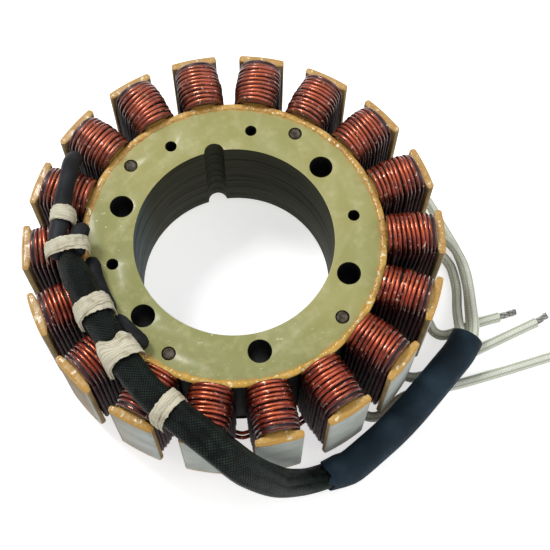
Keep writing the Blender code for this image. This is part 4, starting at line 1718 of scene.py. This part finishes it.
@dataclass
class HarnessSleeve:
    """The big woven sleeve over the three leads: tapered tip, oval run, soft ridges of the leads inside.

    The oval run and the folds are each given by their middle and spread along the sleeve, and the slimmer
    end by its start and run.
    """

    route: Sequence[Point]
    radius: float = 0.0045
    sides: int = 40
    step: float = 0.001
    oval: float = 0.2
    oval_at: tuple[float, float] = (0.078, 0.022)
    folds_at: tuple[float, float] = (0.08, 0.03)
    slimmer: float = 0.15
    slimmer_at: tuple[float, float] = (0.098, 0.02)
    tip: float = 0.009

    def radius_at(self, distance: float, bend: float) -> float:
        """Give the radius of the sleeve over its leads' ridges, with the folds where it bends.

        Args:
            distance: How far along the sleeve.
            bend: The angle round it.

        Returns:
            The radius there.
        """
        middle, spread = self.folds_at
        ridge = math.cos(3.0 * bend + distance * 45.0) * 0.055
        ridge += math.cos(8.0 * bend + distance * 60.0) * 0.022 * math.exp(-(((distance - middle) / spread) ** 2))
        dent = noise.noise(Vector((distance * 70.0, 1.6 * math.cos(bend), 1.6 * math.sin(bend))))
        return self.radius * (0.955 + ridge + 0.04 * dent)

    def build(self, woven: bpy.types.Material) -> tuple[bpy.types.Object, np.ndarray]:
        """Build and dress the sleeve.

        Args:
            woven: Its finish.

        Returns:
            The sleeve's piece and its centreline.
        """
        line = smooth_line(self.route, self.step)
        along = distances(line)
        radii = shaped_radii(along, self.sides, self.radius_at)
        tip = np.clip(along / self.tip, 0.0, 1.0)
        radii *= (0.62 + 0.38 * np.sqrt(tip * (2.0 - tip)))[:, None]
        middle, spread = self.oval_at
        bulge = np.exp(-(((along - middle) / spread) ** 2))
        start, run = self.slimmer_at
        wide = 1.0 + self.oval * bulge - self.slimmer * np.clip((along - start) / run, 0.0, 1.0)
        sheet = Sheet()
        grid = tube_grid(line, radii * (1.0 - self.oval * 0.4 * bulge)[:, None], self.sides, wide)
        add_tube(sheet, grid, line, self.radius * 0.3)
        piece = place("harness_weave", sheet.mesh("harness_weave"), [woven], "woven_sleeving", ("harness_sleeve",))
        return piece, line


@dataclass
class ShrinkTube:
    """The smooth tube over the sleeve's end: ragged start, hollow mouth."""

    route: Sequence[Point]
    radius: float = 0.0053
    wall: float = 0.0009
    sides: int = 44
    step: float = 0.001
    mouth_depth: float = 0.012
    start_round: float = 0.004
    ragged: float = 0.0016

    def radius_at(self, distance: float, bend: float, length: float) -> float:
        """Give the tube's radius, over ridges of the leads that fade towards its mouth.

        Args:
            distance: How far along the tube.
            bend: The angle round it.
            length: The tube's length.

        Returns:
            The radius there.
        """
        ridge = math.cos(3.0 * bend + 0.6 - distance * 20.0) * 0.02 * (1.0 - distance / length)
        dent = noise.noise(Vector((distance * 60.0, 1.5 * math.cos(bend), 1.5 * math.sin(bend) + 4.0)))
        return self.radius * (0.97 + ridge + 0.03 * dent)

    def build(self, shrink: bpy.types.Material) -> bpy.types.Object:
        """Build and dress the tube.

        Args:
            shrink: Its finish.

        Returns:
            The tube's piece.
        """
        line = smooth_line(self.route, self.step)
        along = distances(line)
        radii = shaped_radii(along, self.sides, lambda distance, bend: self.radius_at(distance, bend, along[-1]))
        radii *= (0.9 + 0.1 * np.clip(along / self.start_round, 0.0, 1.0))[:, None]
        outside = tube_grid(line, radii, self.sides)
        ragged = np.array([noise.fractal(Vector((2.5 * math.cos(bend), 2.5 * math.sin(bend), 1.0)), 0.8, 2.0, 3)
                           for bend in ring_angles(self.sides)])
        start = (line[0] - line[1]) / np.linalg.norm(line[0] - line[1])
        for i, share in enumerate((1.0, 0.6, 0.25)):
            outside[i] += ragged[:, None] * start * self.ragged * share
        inside = tube_grid(line, radii - self.wall, self.sides)
        foot = line[0] + (outside[0] - line[0]) * (1.0 - self.wall / self.radius)
        forward = line[-1] - line[-2]
        lip_out = line[-1] + (outside[-1] - line[-1]) * 0.97 + forward * 0.35
        lip_in = line[-1] + (inside[-1] - line[-1]) * 1.02 + forward * 0.3
        deep = max(2, int(self.mouth_depth / self.step))
        grid = np.concatenate([foot[None], outside, lip_out[None], lip_in[None], inside[::-1][:deep]])
        sheet = Sheet()
        sheet.add_grid(grid, np.linspace(0.0, along[-1], len(grid)), np.linspace(0, 1, self.sides + 1), True)
        sheet.add_cap(grid[-1], along[-1], True)
        name = "shrink_tubing"
        return place(name, sheet.mesh(name, 50.0), [shrink], "shrink_tubing", ("heat_shrink_tube",))


@dataclass
class Lead:
    """A glass-braided lead wire."""

    number: int
    route: Sequence[Point]
    radius: float = 0.0016
    sides: int = 20
    step: float = 0.0009
    fray: float = 0.0012

    def build(self, braid: bpy.types.Material) -> tuple[bpy.types.Object, np.ndarray]:
        """Build and dress the lead.

        Args:
            braid: Its finish.

        Returns:
            The lead's piece and its centreline.
        """
        line = smooth_line(self.route, self.step)
        along = distances(line)
        swell = np.array([1.0 + 0.025 * noise.noise(Vector((d * 110.0, self.number * 5.0, 0.0))) for d in along])
        fray = 1.0 + 0.05 * np.exp(-(((along[-1] - along) / self.fray) ** 2))
        sheet = Sheet()
        add_tube(sheet, tube_grid(line, self.radius * swell * fray * 0.99, self.sides), line, self.radius * 0.2)
        name = f"braided_lead_{self.number}"
        piece = place(name, sheet.mesh(name, 50.0), [braid], "glass_braid", (f"lead_{self.number}",))
        return piece, line


@dataclass
class Strands:
    """The bare end of a lead: a core strand with six twisted round it."""

    number: int
    route: Sequence[Point]
    radius: float = 0.0011
    lay: float = 0.014
    twisted: int = 6
    step: float = 0.0004

    def build(self, tinned: bpy.types.Material) -> bpy.types.Object:
        """Build and dress the strands.

        Args:
            tinned: Their finish.

        Returns:
            The strands' piece.
        """
        line = smooth_line(self.route, self.step)
        along = distances(line)
        up, across = carried_frames(line)
        sheet = Sheet()
        wire = self.radius / 3
        for strand in range(self.twisted + 1):
            bend = strand * math.tau / self.twisted + along * math.tau / self.lay
            splay = 1.0 + 0.12 * math.sin(strand * 2.3) * (along / along[-1]) ** 2
            reach = wire * 1.95 * splay if strand < self.twisted else 0.0
            path = line + up * (reach * np.cos(bend))[:, None] + across * (reach * np.sin(bend))[:, None]
            path = path[:len(path) - (strand * 5) % 3]
            add_tube(sheet, tube_grid(path, np.full(len(path), wire), 10), path, wire * 0.5)
        name = f"strands_{self.number}"
        return place(name, sheet.mesh(name), [tinned], "tinned_strands", (f"lead_strands_{self.number}",))


@dataclass
class Harness:
    """The laced harness: joint sleeves, tape, woven sleeve, shrink tube, leads and their bare ends.

    The shrink tube starts at the overlap, on the sleeve, and the leads start inside the tube, that far
    from its mouth.
    """

    bands: tuple[TapeBand, ...] = (
        TapeBand(1, centre=(-0.0471, 0.0143), heading=-107.0, half_width=0.0031, spring=0.0484, crown=0.0516,
                 outer_foot=0.0448, inner_foot=0.0448, wraps=((0.0, 0.0, 0.0045), (0.0006, 3.0, 0.0032))),
        TapeBand(2, centre=(-0.0475, 0.004), heading=-90.0, half_width=0.0059, spring=0.0482, crown=0.0524,
                 outer_foot=0.0448, inner_foot=0.0448, wraps=((0.0, 0.0, 0.0043), (-0.0004, -3.0, 0.0034))),
        TapeBand(3, centre=(-0.043, -0.0164), heading=-73.0, half_width=0.0049, spring=0.05, crown=0.0549,
                 outer_foot=0.0448, inner_foot=0.0460,
                 wraps=((-0.0003, 0.0, 0.005), (0.0005, 6.0, 0.0042), (0.0, -5.0, 0.0028)),
                 peaks=((0.12, 0.1, 0.0, 0.0012),)),
        TapeBand(4, centre=(-0.0377, -0.031), heading=-68.0, half_width=0.0049, spring=0.05, crown=0.0549,
                 outer_foot=0.0385, inner_foot=0.0460,
                 wraps=((0.0, 0.0, 0.0048), (-0.0007, -8.0, 0.0042), (0.0009, 7.0, 0.0034)),
                 peaks=((0.48, 0.09, 0.0034, 0.0), (0.3, 0.12, 0.0008, 0.0012), (0.7, 0.06, 0.0014, 0.0)), taper=0.4),
        TapeBand(5, centre=(-0.0282, -0.0485), heading=-52.0, half_width=0.0049, spring=0.05, crown=0.0549,
                 outer_foot=0.0448, inner_foot=0.0448, wraps=((0.0, 0.0, 0.0045), (-0.0008, -2.0, 0.0027))),
    )
    cover: Braid = Braid("woven_sleeving", srgb(2, 4, 4), srgb(46, 62, 53), pitch=0.0009, carriers=26, depth=0.00026,
                         roughness=0.52, shine=0.16, stain_and_side_shade=0.55, folds=0.9)
    braid: Braid = Braid("glass_braid", srgb(222, 226, 208), srgb(254, 254, 248), pitch=0.0011, carriers=7,
                         depth=0.00009, roughness=0.6, tracer=srgb(172, 182, 158), stain_and_side_shade=0.15)
    sleeving: MatteSleeving = MatteSleeving("joint_sleeving", srgb(20, 21, 24), srgb(43, 45, 49), 0.62, shine=0.25)
    shrink: MatteSleeving = MatteSleeving("shrink_tubing", srgb(24, 39, 50), srgb(35, 53, 66), 0.66, ribs=0.00008,
                                          shine=0.2)
    overlap: Point = (0.0135, -0.0671, 0.0056)
    inside_tube: Point = (-0.005, -0.0052, 0.0006)

    def build(self) -> None:
        sleeving = self.sleeving.material()
        routes = (SLOT_SLEEVE_ROUTE, STUB_SLEEVE_ROUTE, UPPER_EDGE_SLEEVE_ROUTE, LOWER_EDGE_SLEEVE_ROUTE)
        for number, route in enumerate(routes, start=1):
            JointSleeve(number, route).build(sleeving)
        tape = GlassTape().material()
        for band in self.bands:
            band.build(tape)
        sleeve, sleeve_line = HarnessSleeve(HARNESS_ROUTE).build(self.cover.material())
        tube = ShrinkTube((self.overlap, *SHRINK_ROUTE)).build(self.shrink.material())
        braid = self.braid.material()
        tinned = TinnedStrands().material()
        for number, (route, end) in enumerate(zip(LEAD_ROUTES, STRAND_ROUTES), start=1):
            lead, line = Lead(number, self.from_inside(route)).build(braid)
            strands = Strands(number, end).build(tinned)

    def from_inside(self, route: Sequence[Point]) -> list[Point]:
        """Draw a lead's start back into the shrink tube's mouth.

        Args:
            route: The lead's route from the mouth.

        Returns:
            The route from inside the tube.
        """
        first, second = Vector(route[0]), Vector(route[1])
        inward = Vector(self.inside_tube)
        middle = first + (first - second).normalized() * 0.0015 + inward * 0.25
        return [tuple(first + inward), tuple(middle), *route]


@dataclass
class Studio:
    """Pale floor, soft lamps, and the camera where the photograph was taken."""

    lens: float = 77.783
    target: Point = (0.00924, -0.01343, 0.040)
    distance: float = 0.344
    elevation: float = 68.93
    azimuth: float = -14.16
    roll: float = 1.62
    sensor: float = 36.0
    world_strength: float = 0.45
    lamp_target: Point = (0.0, 0.0, 0.02)
    floor_half_side: float = 2.0
    floor_drop: float = 0.00005
    floor_glow: float = 0.62

    def camera(self) -> bpy.types.Object:
        """Add the camera.

        Returns:
            The camera.
        """
        rise, side, roll = (math.radians(v) for v in (self.elevation, self.azimuth, self.roll))
        back = Vector((math.sin(side) * math.cos(rise), -math.cos(side) * math.cos(rise), math.sin(rise)))
        level = Vector((math.cos(side), math.sin(side), 0.0))
        up = back.cross(level)
        right = math.cos(roll) * level + math.sin(roll) * up
        top = -math.sin(roll) * level + math.cos(roll) * up
        data = bpy.data.cameras.new("photo_camera")
        data.lens, data.sensor_width = self.lens, self.sensor
        data.clip_start, data.clip_end = 0.01, 20.0
        camera = bpy.data.objects.new("photo_camera", data)
        bpy.context.scene.collection.objects.link(camera)
        turn = Matrix((right, top, back)).transposed().to_4x4()
        camera.matrix_world = Matrix.Translation(Vector(self.target) + back * self.distance) @ turn
        bpy.context.scene.camera = camera
        return camera

    def lamp(self, name: str, spot: Point, size: float, watts: float) -> bpy.types.Object:
        """Add a soft square lamp that faces the stator.

        Args:
            name: Its name.
            spot: Where it stands.
            size: Its side.
            watts: Its power.

        Returns:
            The lamp.
        """
        data = bpy.data.lights.new(name, "AREA")
        data.shape, data.size, data.energy = "SQUARE", size, watts
        lamp = bpy.data.objects.new(name, data)
        bpy.context.scene.collection.objects.link(lamp)
        lamp.location = spot
        aim = Vector(self.lamp_target) - Vector(spot)
        lamp.rotation_mode = "QUATERNION"
        lamp.rotation_quaternion = aim.to_track_quat("-Z", "Y")
        return lamp

    def floor(self) -> bpy.types.Object:
        """Add the pale floor, which the camera sees as near white and which keeps the stator's shadow.

        Returns:
            The floor.
        """
        sheet = Sheet()
        edge = self.floor_half_side
        corners = np.array([[[-edge, -edge, 0.0], [edge, -edge, 0.0]], [[-edge, edge, 0.0], [edge, edge, 0.0]]])
        ends = np.array([0.0, 1.0])
        sheet.add_grid(corners - np.array([0.0, 0.0, self.floor_drop]), ends, ends, False)
        paint = Painter("pale_floor", roughness=0.9)
        paint.colour(paint.mix(paint.noise(paint.place(), 8.0), (0.86, 0.86, 0.86), (0.88, 0.88, 0.88)))
        path = paint.node("LightPath")
        seen = paint.compute("MAXIMUM", path.outputs["Is Camera Ray"], path.outputs["Is Glossy Ray"])
        seen = paint.compute("MAXIMUM", seen, path.outputs["Is Transmission Ray"])
        paint.shader.inputs["Emission Color"].default_value = (1.0, 1.0, 1.0, 1.0)
        paint.feed(paint.shader.inputs["Emission Strength"], paint.times(seen, self.floor_glow))
        floor = bpy.data.objects.new("floor", sheet.mesh("floor"))
        floor.data.materials.append(paint.material)
        bpy.context.scene.collection.objects.link(floor)
        return floor

    def build(self) -> None:
        """Add the camera, the lamps, the floor and the even light round the stator."""
        self.camera()
        self.floor()
        self.lamp("key_lamp", (-0.3, 0.45, 0.92), 0.24, 5.2)
        self.lamp("fill_lamp", (0.55, -0.35, 0.7), 0.6, 2.0)
        world = bpy.data.worlds.new("even_light")
        bpy.context.scene.world = world
        world.use_nodes = True
        tree = world.node_tree
        ground = tree.nodes["Background"]
        ground.inputs["Color"].default_value = (1.0, 1.0, 1.0, 1.0)
        path = tree.nodes.new("ShaderNodeLightPath")
        seen = tree.nodes.new("ShaderNodeMath")
        seen.operation = "MAXIMUM"
        tree.links.new(path.outputs["Is Camera Ray"], seen.inputs[0])
        tree.links.new(path.outputs["Is Transmission Ray"], seen.inputs[1])
        strength = tree.nodes.new("ShaderNodeMapRange")
        tree.links.new(seen.outputs[0], strength.inputs[0])
        strength.inputs["To Min"].default_value = self.world_strength
        strength.inputs["To Max"].default_value = 1.0
        tree.links.new(strength.outputs[0], ground.inputs["Strength"])
        bpy.context.scene.view_settings.view_transform = "Standard"


def main() -> None:
    """Build the stator's pieces in order, light them and report each one."""
    logging.basicConfig(level=logging.INFO, format="%(name)s: %(message)s", stream=sys.stdout, force=True)
    core = LaminatedCore()
    core.build()
    VarnishBead(core).build()
    CoreRivet().build(core)
    finishes = (EnamelledCopper(), CoilHollow(), EnamelledCopper("enamelled_copper_side", 0.02, 0.1))
    winding = [finish.material() for finish in finishes]
    steep_coils = {3: -0.0013}
    for number in range(1, core.poles + 1):
        Coil(number, steep_coils.get(number)).build(core, winding)
    CrossoverWires().build(winding[2])
    Harness().build()
    Studio().build()


if __name__ == "__main__":
    main()
